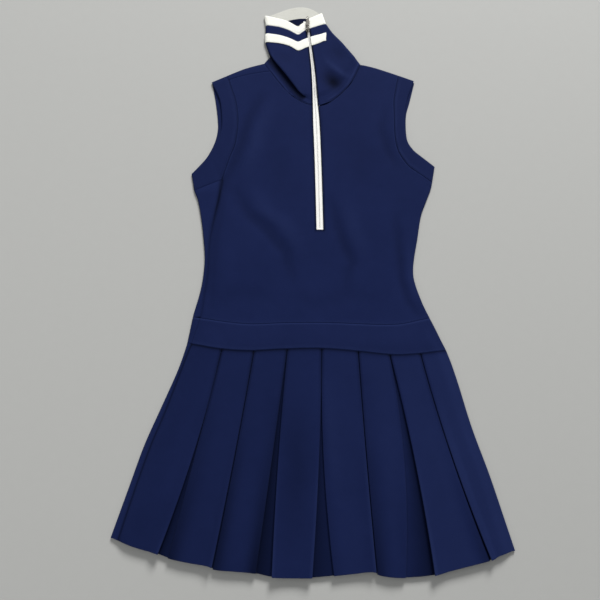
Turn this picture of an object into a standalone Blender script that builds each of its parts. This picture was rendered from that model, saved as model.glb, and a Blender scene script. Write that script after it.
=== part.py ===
# Sleeveless golf dress laid flat, front up: a bodice with a half zip and a tall
# collar, a shaped waistband and a short skirt with seven box pleats.
# X runs to the right of the front as it is seen, Y from the hem to the collar, Z up.
# The dress is a flattened tube: its back lies on the ground, its front lies on the
# back, and both turn over a fold at each side. Tables are in millimetres.

import bpy
import math
from mathutils import Vector

MM = 0.001
WALL = 1.2            # thickness of the knit cloth
SEAM = 0.3            # clear gap between two pieces that meet
PITCH = WALL + SEAM   # height of one more layer of cloth
GROUND = WALL / 2     # middle of the wall that lies on the ground
FOLD_RADIUS = 1.3     # turn of the cloth at the side and shoulder folds
FOLD_TOP = GROUND + 2 * FOLD_RADIUS
FRONT_LEVEL = 3.9     # middle of the front wall over most of the bodice
PLEAT_LEVEL = GROUND + 5 * PITCH   # front faces, on six layers of pleated cloth
COLLAR_LEVEL = 5.6    # middle of the collar's front wall
LEFT_RISE = 28.0      # how far in from a fold the front reaches its level
RIGHT_RISE = 20.0
LEFT_SHOULDER_OUT = (-0.35, 0.93)    # way out from each shoulder's fold
RIGHT_SHOULDER_OUT = (0.3, 0.95)
WRAP = 8.0            # how far the front turns under at the right side and shoulder
LEVEL_STARTS = -100.0  # the front starts to rise towards the pleats here
LEVEL_ENDS = -150.0
PLEAT_DEPTH = 19.0    # how far a pleat runs under the face beside it
PLEAT_CLOSED = 1.1    # half the distance between the edges of a closed pleat
SKIRT_ROWS = 8
BAND_ROWS = 3
BACK_CELLS = 14
SHOULDER_CELLS = 3
NECK_CELLS = 4
SIDE_CELLS = 8
ARMHOLE_CELLS = 7
BELOW_ZIP_CELLS = 6
ZIP_BOTTOM = 50.0
TAPE_UNDER = 3.0      # the zip tape's edge that lies under the cloth
STRIPE_WALL = 1.0
STRIPE_ROW = 10       # row of the collar at the stripe's lower edge
BAND_ROW = 13         # first row of the white band
STRIPE_RIGHT_COLUMNS = 7

NAVY = (0.0109, 0.0185, 0.0685, 1.0)
WHITE = (0.87, 0.87, 0.80, 1.0)
SILVER = (0.62, 0.61, 0.58, 1.0)

# y, x of the left side fold, x of the left side seam on the front
LEFT_SIDE = [
    (152, -201, -150),
    (140, -198.5, -150),
    (121, -195.3, -152),
    (105, -189, -154),
    (73, -182, -160),
    (32, -176, -166),
    (-2, -173, -167),
    (-36, -175, -168),
    (-60, -179, -171),
    (-97, -188, -176),
    (-131, -193, -185),
    (-165, -202, -197),
    (-189, -210, -205),
    (-249, -234, -225),
    (-297, -253, -243),
    (-361, -273, -263),
    (-429, -294, -282),
]

# y, x of the right side fold
RIGHT_SIDE = [
    (165, 210),
    (125, 202),
    (107, 195),
    (76, 183),
    (36, 175),
    (-11, 166),
    (-36, 166),
    (-74, 177),
    (-102, 189),
    (-152, 211),
    (-194, 224),
    (-270, 243),
    (-341, 265),
    (-399, 281),
    (-447, 294),
]

# x, y of the seam between bodice and waistband
UPPER_WAIST = [(-195, -97), (-138, -106), (-96, -110), (-43, -108), (30, -108),
               (109, -111), (141, -110), (170, -104), (195, -98)]

# x, y of the seam between waistband and skirt
LOWER_WAIST = [(-200, -139), (-150, -149), (-100, -153), (-45, -150.5), (15, -149.5),
               (73, -154), (130, -159.5), (175, -157), (215, -151)]

# x, y along each line of the upper bodice
LEFT_ARMHOLE_FRONT = [(-150, 140), (-137, 183), (-129, 207), (-125, 242), (-126, 265),
                      (-131, 294), (-139, 318), (-143, 331)]
LEFT_ARMHOLE_BACK = [(-194, 121), (-160, 148), (-140, 185), (-133, 230), (-135, 270),
                     (-140, 310), (-147, 338)]
RIGHT_ARMHOLE_FRONT = [(203, 136), (183, 151), (165, 166), (150, 192), (145, 220),
                       (145, 259), (146, 294), (155, 339)]
RIGHT_ARMHOLE_BACK = [(195, 134), (172, 160), (154, 192), (149, 220), (149, 259),
                      (150, 294), (156, 330)]
LEFT_OPENING_FRONT = [(-200, 152), (-177, 180), (-162, 209), (-154, 230), (-153, 257),
                      (-158, 292), (-172, 324)]
LEFT_OPENING_BACK = [(-200, 152), (-178, 181), (-165, 209), (-160, 234), (-161, 257),
                     (-166, 292), (-173, 326)]
RIGHT_OPENING_FRONT = [(209, 165), (187, 184), (174, 197), (165, 217), (163, 259),
                       (168, 290), (182, 328)]
RIGHT_OPENING_BACK = [(209, 165), (188, 184), (175, 197), (166, 217), (166, 259),
                      (174, 290), (184, 328)]
LEFT_SHOULDER_SEAM = [(-143, 331), (-128, 337), (-105, 343), (-71, 349)]
LEFT_SHOULDER_FOLD = [(-147, 338), (-114, 353), (-81, 363)]
RIGHT_SHOULDER_FOLD = [(89, 361), (115, 354), (155, 339)]
RIGHT_SHOULDER_SEAM = [(86, 352), (115, 345), (156, 330)]
NECK_LEFT = [(4.5, 280), (-11, 286), (-22, 292), (-39, 306), (-58, 330), (-71, 349)]
NECK_RIGHT = [(13.5, 280), (28, 283), (51, 301), (70, 322), (80, 341), (89, 361)]
NECK_BACK = [(-81, 363), (-50, 352), (-15, 346), (20, 345), (55, 348), (86, 352)]

# One row a pleat: x of the pleat at the waist, x of its two edges half way down and
# at the hem, y of the hem at each edge, and how far each edge stands up at the hem.
PLEAT_COLUMNS = ("waist", "mid_left", "mid_right", "hem_left", "hem_right",
                 "left_y", "right_y", "left_lift", "right_lift")
FRONT_PLEATS = [
    (-140, -175.5, -173.0, -223, -206.0, -449, -458, 1.0, 0.0),
    (-90, -116.5, -114.3, -145, -142.8, -469, -472, 1.0, 0.0),
    (-38, -58.0, -50.0, -81, -58.0, -475, -482, 0.3, 1.0),
    (16, 10.0, 17.5, -1, 31.0, -483, -480, 1.0, 0.3),
    (73, 80.5, 82.7, 91, 93.3, -475, -480, 1.0, 0.0),
    (122, 137.5, 154.0, 133, 175.0, -483, -479, 0.2, 1.0),
    (170, 206.5, 208.7, 255, 257.4, -463, -460, 0.0, 1.0),
]
BACK_PLEATS = [
    (-140, -180.0, -177.8, -222, -217.0, -446, -447, 0.0, 0.0),
    (-91, -118.0, -115.8, -147, -142.0, -464, -465, 0.0, 0.0),
    (-42, -56.0, -53.8, -73, -68.0, -474, -474, 0.0, 0.0),
    (8, 6.0, 8.2, 1, 6.0, -477, -477, 0.0, 0.0),
    (58, 67.0, 69.2, 74, 79.0, -474, -474, 0.0, 0.0),
    (108, 129.0, 131.2, 148, 153.0, -466, -465, 0.0, 0.0),
    (157, 186.0, 188.2, 216, 221.0, -457, -456, 0.0, 0.0),
]
LEFT_HEM_Y = -429.0
RIGHT_HEM_Y = -447.0

# y, x of the middle of the zip, half the width that shows, middle height of the cloth
ZIP_LINE = [
    (50, 15, 6.0, 3.9),
    (147, 13, 6.0, 3.9),
    (201, 12, 6.0, 3.9),
    (250, 10, 6.0, 3.9),
    (280, 9, 4.5, 3.9),
    (300, 8, 4.0, 4.2),
    (319, 7, 3.5, 5.4),
    (358, 5, 2.9, 5.6),
    (399, 0, 2.4, 5.6),
    (437, -4, 2.4, 5.6),
    (452, -8, 2.4, 5.6),
]

# The collar's levels, one row each, with x, y at columns from the zip to the fold.
COLLAR_LEVELS = ("tuck", "stripe_low", "stripe_top", "band_low", "top")
COLLAR_LEFT = [
    [(1, 290), (-11, 299), (-27, 319), (-45, 345), (-59, 364), (-69, 379)],
    [(-2.7, 398), (-11, 394), (-22, 390), (-36, 399), (-56, 405), (-77, 407)],
    [(-4.5, 416), (-13, 412), (-22, 408), (-36, 415), (-56, 422), (-77, 425)],
    [(-6.6, 435), (-14, 429), (-22, 424), (-36, 432), (-56, 440), (-77, 443)],
    [(-10.5, 451), (-17, 447), (-24, 444), (-40, 453), (-60, 459), (-80, 463)],
]
COLLAR_RIGHT = [
    [(12.5, 296), (30, 303), (51, 322), (69, 346), (82, 370)],
    [(2.7, 400), (11, 403), (20, 407), (29, 410), (54, 408)],
    [(0.7, 418), (10, 421), (20, 424), (29, 427), (38, 427)],
    [(-1.6, 436), (6, 439), (13, 441.5), (20, 444), (26.5, 446)],
    [(-5.0, 455), (1, 458.5), (8, 462), (14, 465), (20, 468)],
]
# How far each level of the back bows up between the folds, and how much of the way
# from fold to fold its columns reach.
BACK_BOW = (0, 4, 6, 8, 17.6)
BACK_REACH = 0.93
SLOPE_STEP = 1.5
STEEP_STEP = 0.4
PLAIN_LOW = 4.2
BAND_GAP = 0.5        # wider where two walls meet on a slanting fold
NECK_GAP = 0.6
# How deep the tuck over the neck seam is at each column from the zip to the fold.
# At 0 the cloth steps straight up there, and at None it slopes up gently.
TUCK = [None, None, 0, 2, 5, 7, 7, 7, 5, 2, 0]

SLIDER_AT = (-4.1, 434.0)
SLIDER_LENGTH = 13.0
SLIDER_WIDTH = 7.4
SLIDER_PLATE = 1.4
SLIDER_NECK_WIDTH = 2.2
CROWN_WIDTH = 2.4
CROWN_HALF = 4.5
CROWN_LEG = 1.0
CROWN_HEIGHT = 3.3
CROWN_TOP = 1.0
PULL_THICKNESS = 1.0
PULL_WIDTH = 7.0
PULL_LENGTH = 25.0
PULL_WINDOW = (3.4, 5.4)
PULL_HOLE = 1.9


def smooth(t):
    """Ease from 0 to 1."""
    t = max(0.0, min(1.0, t))
    return t * t * (3 - 2 * t)


def lookup(table, key, column=1):
    """Read one column of a table whose rows run along their first column."""
    rows = sorted(table)
    if key <= rows[0][0]:
        return rows[0][column]
    for low, high in zip(rows, rows[1:]):
        if key <= high[0]:
            t = (key - low[0]) / (high[0] - low[0])
            return low[column] + t * (high[column] - low[column])
    return rows[-1][column]


def spline(points, t):
    """A point at t, from 0 to 1, on a smooth curve through points in a plane."""
    lengths = [math.dist(a, b) for a, b in zip(points, points[1:])]
    place = t * sum(lengths)
    index = 0
    while index < len(lengths) - 1 and place > lengths[index]:
        place -= lengths[index]
        index += 1
    u = min(1.0, place / lengths[index])
    p1 = points[index]
    p2 = points[index + 1]
    p0 = points[index - 1] if index > 0 else p1
    p3 = points[index + 2] if index + 2 < len(points) else p2
    result = []
    for a, b, c, d in zip(p0, p1, p2, p3):
        linear = c - a
        square = 2 * a - 5 * b + 4 * c - d
        cube = 3 * b - a - 3 * c + d
        result.append(b + 0.5 * u * (linear + u * (square + u * cube)))
    return tuple(result)


def sample(points, cells):
    """Evenly spaced points on the smooth curve through a table's points."""
    return [spline(points, i / cells) for i in range(cells + 1)]


def graph(table, x):
    """Height of the smooth curve of a seam that runs across the dress."""
    for k, (a, b) in enumerate(zip(table, table[1:])):
        if x <= b[0] or k == len(table) - 2:
            t = (x - a[0]) / (b[0] - a[0])
            before = table[k - 1] if k else a
            after = table[k + 2] if k + 2 < len(table) else b
            slope_a = (b[1] - before[1]) / (b[0] - before[0])
            slope_b = (after[1] - a[1]) / (after[0] - a[0])
            span = b[0] - a[0]
            rise = b[1] - a[1]
            bend = slope_a * span - rise
            sway = rise - slope_b * span
            return a[1] + t * rise + t * (1 - t) * (bend * (1 - t) + sway * t)
    return table[-1][1]


def left_fold(y):
    return lookup(LEFT_SIDE, y, 1)


def left_seam(y):
    return lookup(LEFT_SIDE, y, 2)


def right_fold(y):
    return lookup(RIGHT_SIDE, y, 1)


def front_height(x, y):
    """Height of the middle of the front wall."""
    level = FRONT_LEVEL
    drop = smooth((LEVEL_STARTS - y) / (LEVEL_STARTS - LEVEL_ENDS))
    level += (PLEAT_LEVEL - FRONT_LEVEL) * drop
    inside = min(smooth((x - left_fold(y)) / LEFT_RISE),
                 smooth((right_fold(y) - x) / RIGHT_RISE))
    return FOLD_TOP + (level - FOLD_TOP) * inside


def front_point(p):
    return Vector((p[0], p[1], front_height(p[0], p[1])))


def back_point(p):
    return Vector((p[0], p[1], GROUND))


def fold_tip(top, out):
    """The outermost point of a turn from the front layer to the back layer."""
    radius = (top.z - GROUND) / 2
    return Vector((top.x + out[0] * radius, top.y + out[1] * radius, GROUND + radius))


def patch(bottom, top, left, right):
    """Fill four edges, given as lists of plane points, with rows of points."""
    columns = len(bottom) - 1
    rows = len(left) - 1
    grid = []
    for j in range(rows + 1):
        v = j / rows
        line = []
        for i in range(columns + 1):
            u = i / columns
            point = []
            for k in (0, 1):
                across = (1 - v) * bottom[i][k] + v * top[i][k]
                along = (1 - u) * left[j][k] + u * right[j][k]
                corners = ((1 - u) * (1 - v) * bottom[0][k] + u * (1 - v) * bottom[-1][k]
                           + (1 - u) * v * top[0][k] + u * v * top[-1][k])
                point.append(across + along - corners)
            line.append(tuple(point))
        grid.append(line)
    return grid


def material(name, color, roughness, metallic=0.0):
    surface = bpy.data.materials.get(name)
    if surface is None:
        surface = bpy.data.materials.new(name)
        surface.use_nodes = True
        shader = surface.node_tree.nodes["Principled BSDF"]
        shader.inputs["Base Color"].default_value = color
        shader.inputs["Roughness"].default_value = roughness
        shader.inputs["Metallic"].default_value = metallic
        surface.diffuse_color = color
    return surface


def cloth(name, rows, surface, wall=WALL, skip=(), closed=False):
    """Make a wall of cloth from rows of points, with None where there is no cloth."""
    mesh = bpy.data.meshes.new(name)
    index = {}
    points = []
    for j, row in enumerate(rows):
        for i, point in enumerate(row):
            if point is not None:
                index[j, i] = len(points)
                points.append(point * MM)
    faces = []
    last = len(rows[0]) if closed else len(rows[0]) - 1
    for j in range(len(rows) - 1):
        for i in range(last):
            after = (i + 1) % len(rows[0])
            corners = [(j, i), (j, after), (j + 1, after), (j + 1, i)]
            if (j, i) not in skip and all(c in index for c in corners):
                faces.append([index[c] for c in corners])
    used = sorted({k for face in faces for k in face})
    place = {k: n for n, k in enumerate(used)}
    mesh.from_pydata([points[k] for k in used], [], [[place[k] for k in f] for f in faces])
    mesh.materials.append(surface)
    mesh.shade_smooth()
    body = bpy.data.objects.new(name, mesh)
    bpy.context.collection.objects.link(body)
    thick = body.modifiers.new("Wall", "SOLIDIFY")
    thick.thickness = wall * MM
    thick.offset = 0.0
    thick.use_even_offset = True
    thick.use_quality_normals = True
    return body


def seam_points(table, start, end, cells, shift):
    """Points along a seam across the dress, shifted up or down from it."""
    xs = [start + (end - start) * i / cells for i in range(cells + 1)]
    return [(x, graph(table, x) + shift) for x in xs]


def side_points(first, side, shift, high, cells):
    """Points up one side of the dress from a first point, shifted inwards."""
    points = [first]
    for i in range(1, cells + 1):
        y = first[1] + (high - first[1]) * i / cells
        points.append((side(y) + shift, y))
    return points


def column(side, shift, table):
    """Where a line up one side of the dress, shifted inwards, meets a seam across it."""
    x = side(-125) + shift
    for _ in range(4):
        x = side(graph(table, x)) + shift
    return x


class Bodice:
    """Edges that the bodice's panels, the bands and the collar share."""

    def __init__(self):
        zip_x = lookup(ZIP_LINE, ZIP_BOTTOM)
        self.slot_left = []
        self.slot_right = []
        bottom_y = graph(UPPER_WAIST, zip_x) + SEAM / 2
        ys = [bottom_y + (ZIP_BOTTOM - bottom_y) * i / BELOW_ZIP_CELLS
              for i in range(BELOW_ZIP_CELLS + 1)]
        above = SIDE_CELLS + ARMHOLE_CELLS - BELOW_ZIP_CELLS
        neck_y = NECK_LEFT[0][1]
        ys += [ZIP_BOTTOM + (neck_y - ZIP_BOTTOM) * i / above
               for i in range(1, above + 1)]
        for y in ys:
            middle = lookup(ZIP_LINE, y)
            half = lookup(ZIP_LINE, y, 2)
            self.slot_left.append((middle - half, y))
            self.slot_right.append((middle + half, y))
        half_cells = SHOULDER_CELLS + NECK_CELLS
        seam = SEAM / 2
        self.bottom_left = seam_points(UPPER_WAIST, column(left_seam, 0, UPPER_WAIST),
                                       self.slot_left[0][0], half_cells, seam)
        self.slot_left[0] = self.bottom_left[-1]
        right_x = column(right_fold, -FOLD_RADIUS, UPPER_WAIST)
        self.bottom_right = seam_points(UPPER_WAIST, self.slot_right[0][0], right_x,
                                        half_cells, seam)
        self.slot_right[0] = self.bottom_right[0]
        self.left = side_points(self.bottom_left[0], left_seam, 0,
                                LEFT_ARMHOLE_FRONT[0][1], SIDE_CELLS)
        self.left += sample(LEFT_ARMHOLE_FRONT, ARMHOLE_CELLS)[1:]
        self.right = side_points(self.bottom_right[-1], right_fold, -FOLD_RADIUS,
                                 RIGHT_ARMHOLE_FRONT[0][1], SIDE_CELLS)
        self.right += sample(RIGHT_ARMHOLE_FRONT, ARMHOLE_CELLS)[1:]
        self.top_left = (sample(LEFT_SHOULDER_SEAM, SHOULDER_CELLS)
                         + sample(NECK_LEFT, NECK_CELLS)[::-1][1:])
        self.top_right = (sample(NECK_RIGHT, NECK_CELLS)
                          + sample(RIGHT_SHOULDER_FOLD, SHOULDER_CELLS)[1:])
        back_cells = 2 * half_cells
        self.back_bottom = seam_points(UPPER_WAIST,
                                       column(left_fold, FOLD_RADIUS, UPPER_WAIST),
                                       column(right_fold, -WRAP, UPPER_WAIST),
                                       back_cells, seam)
        self.back_left = side_points(self.back_bottom[0], left_fold, FOLD_RADIUS,
                                     LEFT_ARMHOLE_BACK[0][1], SIDE_CELLS)
        self.back_left += sample(LEFT_ARMHOLE_BACK, ARMHOLE_CELLS)[1:]
        self.back_right = side_points(self.back_bottom[-1], right_fold, -WRAP,
                                      RIGHT_ARMHOLE_BACK[0][1], SIDE_CELLS)
        self.back_right += sample(RIGHT_ARMHOLE_BACK, ARMHOLE_CELLS)[1:]
        neck = back_cells - 2 * SHOULDER_CELLS
        self.back_top = (sample(LEFT_SHOULDER_FOLD, SHOULDER_CELLS)
                         + sample(NECK_BACK, neck)[1:]
                         + sample(RIGHT_SHOULDER_SEAM, SHOULDER_CELLS)[1:])


def toward(point, other, distance):
    """Move a point towards another by a distance."""
    step = other - point
    return point + step.normalized() * distance


def front_bodice(shape, navy):
    rows = []
    left = patch(shape.bottom_left, shape.top_left, shape.left, shape.slot_left)
    right = patch(shape.bottom_right, shape.top_right, shape.slot_right, shape.right)
    for j in range(len(left)):
        row = [front_point(p) for p in left[j] + right[j]]
        if j <= SIDE_CELLS:
            top = row[-1]
            under = Vector((top.x, top.y, GROUND))
            seam = back_point(shape.back_right[j])
            row += [fold_tip(top, (1, 0)), under, toward(seam, under, SEAM)]
        else:
            row += [None] * 3
        rows.append(row)
    first = len(left[0]) + NECK_CELLS
    last = first + SHOULDER_CELLS
    tips = [None] * len(rows[0])
    unders = [None] * len(rows[0])
    seams = [None] * len(rows[0])
    seam_line = shape.back_top[-SHOULDER_CELLS - 1:]
    for k, i in enumerate(range(first, last + 1)):
        top = rows[-1][i]
        tips[i] = fold_tip(top, RIGHT_SHOULDER_OUT)
        unders[i] = Vector((top.x, top.y, GROUND))
        seams[i] = toward(back_point(seam_line[k]), unders[i], SEAM)
    rows += [tips, unders, seams]
    slot = len(left[0]) - 1
    skip = {(j, slot) for j in range(BELOW_ZIP_CELLS, len(rows))}
    cloth("front_bodice", rows, navy, skip=skip)


def back_bodice(shape, navy):
    grid = patch(shape.back_bottom, shape.back_top, shape.back_left, shape.back_right)
    rows = []
    for j, line in enumerate(grid):
        row = [back_point(p) for p in line]
        if j <= SIDE_CELLS:
            under = row[0]
            top = Vector((under.x, under.y, FOLD_TOP))
            seam = toward(front_point(shape.left[j]), top, SEAM)
            middle = (top + seam) / 2
            middle.z = front_height(middle.x, middle.y)
            row = [seam, middle, top, fold_tip(top, (-1, 0))] + row
        else:
            row = [None] * 4 + row
        rows.append(row)
    tips = [None] * len(rows[0])
    tops = [None] * len(rows[0])
    seams = [None] * len(rows[0])
    for k in range(SHOULDER_CELLS + 1):
        under = rows[-1][4 + k]
        top = front_point(under)
        tips[4 + k] = fold_tip(top, LEFT_SHOULDER_OUT)
        tops[4 + k] = top
        seams[4 + k] = toward(front_point(shape.top_left[k]), top, SEAM)
    rows += [tips, tops, seams]
    cloth("back_bodice", rows, navy)


def band(name, inner, outer, navy):
    """A ring of cloth between the seam round an armhole and the armhole's edge."""
    seam = [toward(a, b, SEAM) for a, b in zip(inner, outer)]
    middle = [(a + b) / 2 for a, b in zip(seam, outer)]
    cloth(name, [seam, middle, outer], navy, closed=True)


def armhole_bands(shape, navy):
    count = ARMHOLE_CELLS
    front = [front_point(p) for p in shape.left[:SIDE_CELLS - 1:-1]]
    fold = back_point(shape.back_left[SIDE_CELLS])
    fold_front = Vector((fold.x, fold.y, FOLD_TOP))
    between = (front[-1] + fold_front) / 2
    between.z = front_height(between.x, between.y)
    back = [back_point(p) for p in shape.back_left[SIDE_CELLS:]]
    shoulder = front_point(back[-1])
    inner = (front + [between, fold_front, fold_tip(fold_front, (-1, 0))] + back
             + [fold_tip(shoulder, LEFT_SHOULDER_OUT), shoulder])
    edge = sample(LEFT_OPENING_FRONT, count + 2)[::-1]
    outer = [front_point(p) for p in edge]
    turn = outer[-1].copy()
    turn.z = FOLD_TOP
    outer[-1] = turn
    outer += [fold_tip(turn, (-0.8, -0.6))]
    outer += [back_point(p) for p in sample(LEFT_OPENING_BACK, count)]
    top = Vector((outer[-1].x, outer[-1].y, FOLD_TOP))
    outer += [fold_tip(top, LEFT_SHOULDER_OUT), top]
    outer[0] = toward(outer[0], outer[1], 3.0)
    band("armhole_band_left", inner, outer, navy)

    front = [front_point(p) for p in shape.right[:SIDE_CELLS - 1:-1]]
    fold = Vector((front[-1].x, front[-1].y, GROUND))
    back = [back_point(p) for p in shape.back_right[SIDE_CELLS:]]
    shoulder = Vector((front[0].x, front[0].y, GROUND))
    inner = (front + [fold_tip(front[-1], (1, 0)), fold] + back
             + [shoulder, fold_tip(front[0], RIGHT_SHOULDER_OUT)])
    edge = sample(RIGHT_OPENING_FRONT, count)[::-1]
    outer = [front_point(p) for p in edge]
    turn = outer[-1].copy()
    turn.z = FOLD_TOP
    outer[-1] = turn
    outer += [fold_tip(turn, (0.8, -0.6))]
    edge = sample(RIGHT_OPENING_BACK, count + 1)
    outer += [back_point(p) for p in edge]
    under = Vector((outer[0].x, outer[0].y, GROUND))
    outer[-1] = toward(outer[-1], outer[-2], 3.0)
    outer += [under, fold_tip(outer[0], RIGHT_SHOULDER_OUT)]
    band("armhole_band_right", inner, outer, navy)


def band_point(high_x, low_x, depth):
    """A point of the waistband's front, at a depth from its upper to its lower seam."""
    x = high_x + (low_x - high_x) * depth
    high = graph(UPPER_WAIST, x) - SEAM / 2
    low = graph(LOWER_WAIST, x) + SEAM / 2
    return front_point((x, high + (low - high) * depth))


def turned(top, out):
    """A fold: its top, its tip and the point under its top."""
    top.z = FOLD_TOP
    return [top, fold_tip(top, (out, 0)), Vector((top.x, top.y, GROUND))]


def waistbands(shape, navy):
    upper = [p[0] for p in shape.bottom_left + shape.bottom_right]
    upper[0] = column(left_seam, 0, UPPER_WAIST)
    left = column(left_seam, 0, LOWER_WAIST)
    right = column(right_fold, -FOLD_RADIUS, LOWER_WAIST)
    lower = []
    for x in upper:
        if x < 0:
            lower.append(x + (left - upper[0]) * x / upper[0])
        else:
            lower.append(x + (right - upper[-1]) * x / upper[-1])
    under = [column(right_fold, -WRAP, table) for table in (UPPER_WAIST, LOWER_WAIST)]
    fold = [column(left_fold, FOLD_RADIUS, table) for table in (UPPER_WAIST, LOWER_WAIST)]
    front = []
    back = []
    for k in range(BAND_ROWS + 1):
        depth = k / BAND_ROWS
        row = [band_point(a, b, depth) for a, b in zip(upper, lower)]
        seam = band_point(under[0] + SEAM, under[1] + SEAM, depth)
        seam.z = GROUND
        front.append(row[:-1] + turned(row[-1], 1) + [seam])
        seam = band_point(upper[0] - SEAM, lower[0] - SEAM, depth)
        row = [seam] + turned(band_point(fold[0], fold[1], depth), -1)
        for i in range(1, BACK_CELLS + 1):
            t = i / BACK_CELLS
            point = band_point(fold[0] + (under[0] - fold[0]) * t,
                               fold[1] + (under[1] - fold[1]) * t, depth)
            point.z = GROUND
            row.append(point)
        back.append(row)
    cloth("front_waistband", front, navy)
    cloth("back_waistband", back, navy)


def pleat_rows(table):
    return [dict(zip(PLEAT_COLUMNS, row)) for row in table]


def through(start, middle, end, v):
    """A smooth run through three values at v = 0, 0.5 and 1."""
    bow = middle - (start + end) / 2
    return start + (end - start) * v + 4 * bow * v * (1 - v)


def pleat_section(row, v, levels):
    """Points across one box pleat, from the face on its left to the face on its right."""
    face, back, under = levels
    left = through(row["waist"] - PLEAT_CLOSED, row["mid_left"], row["hem_left"], v)
    right = through(row["waist"] + PLEAT_CLOSED, row["mid_right"], row["hem_right"], v)
    turn = PITCH / 2
    up = 1 if face > under else -1
    left_face = face + up * row["left_lift"] * v ** 2
    right_face = face + up * row["right_lift"] * v ** 2
    left_in = left - PLEAT_DEPTH
    right_in = right + PLEAT_DEPTH
    left_hem = row["left_y"]
    right_hem = row["right_y"]
    return [
        (left - turn, left_face, left_hem),
        (left, (left_face + back) / 2, left_hem),
        (left - turn, back, left_hem + 1),
        (left_in + turn, back, left_hem + 2),
        (left_in, (back + under) / 2, left_hem + 3),
        (left_in + turn, under, left_hem + 3),
        (right_in - turn, under, right_hem + 3),
        (right_in, (back + under) / 2, right_hem + 3),
        (right_in - turn, back, right_hem + 2),
        (right + turn, back, right_hem + 1),
        (right, (right_face + back) / 2, right_hem),
        (right + turn, right_face, right_hem),
    ]


def drop(x, hem, v):
    """Place of a point of the skirt that starts at x, v of the way down to its hem."""
    top = graph(LOWER_WAIST, x) - SEAM / 2
    return top + (hem - top) * v


def side_point(side, shift, hem, v):
    """A point on a line down one side of the skirt, shifted inwards."""
    y = drop(column(side, shift, LOWER_WAIST), hem, v)
    return (side(y) + shift, y)


def skirt_line(pleats, v, levels, start, end):
    """Points across one row of the skirt, with two more on each face."""
    sections = [pleat_section(row, v, levels) for row in pleats]
    line = []
    before = start
    for section in sections + [[end]]:
        after = section[0]
        for t in (1 / 3, 2 / 3):
            line.append(tuple(a + (b - a) * t for a, b in zip(before, after)))
        line += section
        before = section[-1]
    return line[:-1]


def skirt_points(table, levels, v, start, end):
    """Points across the front or the back of the skirt, v of the way down."""
    pleats = pleat_rows(table)
    line = skirt_line(pleats, v, levels, start(v), end(v))
    waist = skirt_line(pleats, 0, levels, start(0), end(0))
    return [Vector((p[0], drop(q[0], p[2], v), p[1])) for p, q in zip(line, waist)]


def front_skirt(navy):
    levels = [PLEAT_LEVEL, PLEAT_LEVEL - PITCH, PLEAT_LEVEL - 2 * PITCH]
    rows = []

    def start(v):
        return (side_point(left_seam, 0, LEFT_HEM_Y, v)[0], 0, LEFT_HEM_Y)

    def end(v):
        return (side_point(right_fold, -FOLD_RADIUS, RIGHT_HEM_Y, v)[0], 0, RIGHT_HEM_Y)

    for j in range(SKIRT_ROWS + 1):
        v = j / SKIRT_ROWS
        row = skirt_points(FRONT_PLEATS, levels, v, start, end)
        for point in row[:2] + row[-2:]:
            point.z = front_height(point.x, point.y)
        row.insert(0, front_point(side_point(left_seam, 0, LEFT_HEM_Y, v)))
        top = front_point(side_point(right_fold, -FOLD_RADIUS, RIGHT_HEM_Y, v))
        row += turned(top, 1)
        row.append(back_point(side_point(right_fold, SEAM - WRAP, RIGHT_HEM_Y, v)))
        rows.append(row)
    cloth("front_skirt", rows, navy)


def back_skirt(navy):
    levels = [GROUND, GROUND + PITCH, GROUND + 2 * PITCH]
    rows = []

    def start(v):
        return (side_point(left_fold, FOLD_RADIUS, LEFT_HEM_Y, v)[0], GROUND, LEFT_HEM_Y)

    def end(v):
        return (side_point(right_fold, -WRAP, RIGHT_HEM_Y, v)[0], GROUND, RIGHT_HEM_Y)

    for j in range(SKIRT_ROWS + 1):
        v = j / SKIRT_ROWS
        row = [front_point(side_point(left_seam, -SEAM, LEFT_HEM_Y, v))]
        row += turned(front_point(side_point(left_fold, FOLD_RADIUS, LEFT_HEM_Y, v)), -1)
        row += skirt_points(BACK_PLEATS, levels, v, start, end)
        row.append(back_point(side_point(right_fold, -WRAP, RIGHT_HEM_Y, v)))
        rows.append(row)
    cloth("back_skirt", rows, navy)


def refine(points):
    """Put one more point between each two, on the smooth curve through them."""
    result = [points[0]]
    for k in range(len(points) - 1):
        a = points[k]
        b = points[k + 1]
        before = points[k - 1] if k else a
        after = points[k + 2] if k + 2 < len(points) else b
        middle = tuple(0.5625 * (p + q) - 0.0625 * (r + s)
                       for p, q, r, s in zip(a, b, before, after))
        result += [middle, b]
    return result


def halve(points):
    """Put one more point half way between each two."""
    result = [points[0]]
    for a, b in zip(points, points[1:]):
        result += [((a[0] + b[0]) / 2, (a[1] + b[1]) / 2), b]
    return result


def collar_height(y):
    return lookup(ZIP_LINE, y, 3)


def collar_run(neck, levels, depth, low, rise, high):
    """One column of the collar, from the neck seam to its top edge.

    The cloth is at height low up to the tuck, gains rise there and is at height high
    from the stripe on."""
    tuck, stripe_low, stripe_top, band_low, top = [Vector((p[0], p[1], high))
                                                   for p in levels]
    tuck.z = low
    along = stripe_low - tuck
    along.z = 0
    along.normalize()
    half = PITCH / 2
    if depth:
        steps = [depth, depth + half, depth, 0, -half, 0]
        shares = [0, 0.25, 0.5, 0.5, 0.75, 1]
    else:
        step = SLOPE_STEP if depth is None else STEEP_STEP
        steps = [step * k for k in range(1, 7)]
        shares = [k / 6 for k in range(1, 7)]
    column = [toward(neck, tuck, NECK_GAP), (neck + tuck) / 2, tuck]
    for step, share in zip(steps, shares):
        point = tuck + along * step
        point.z = low + share * rise
        column.append(point)
    column += [(column[-1] + stripe_low) / 2, stripe_low, stripe_top,
               toward(band_low, stripe_top, BAND_GAP), band_low, (band_low + top) / 2, top]
    return column


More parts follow.
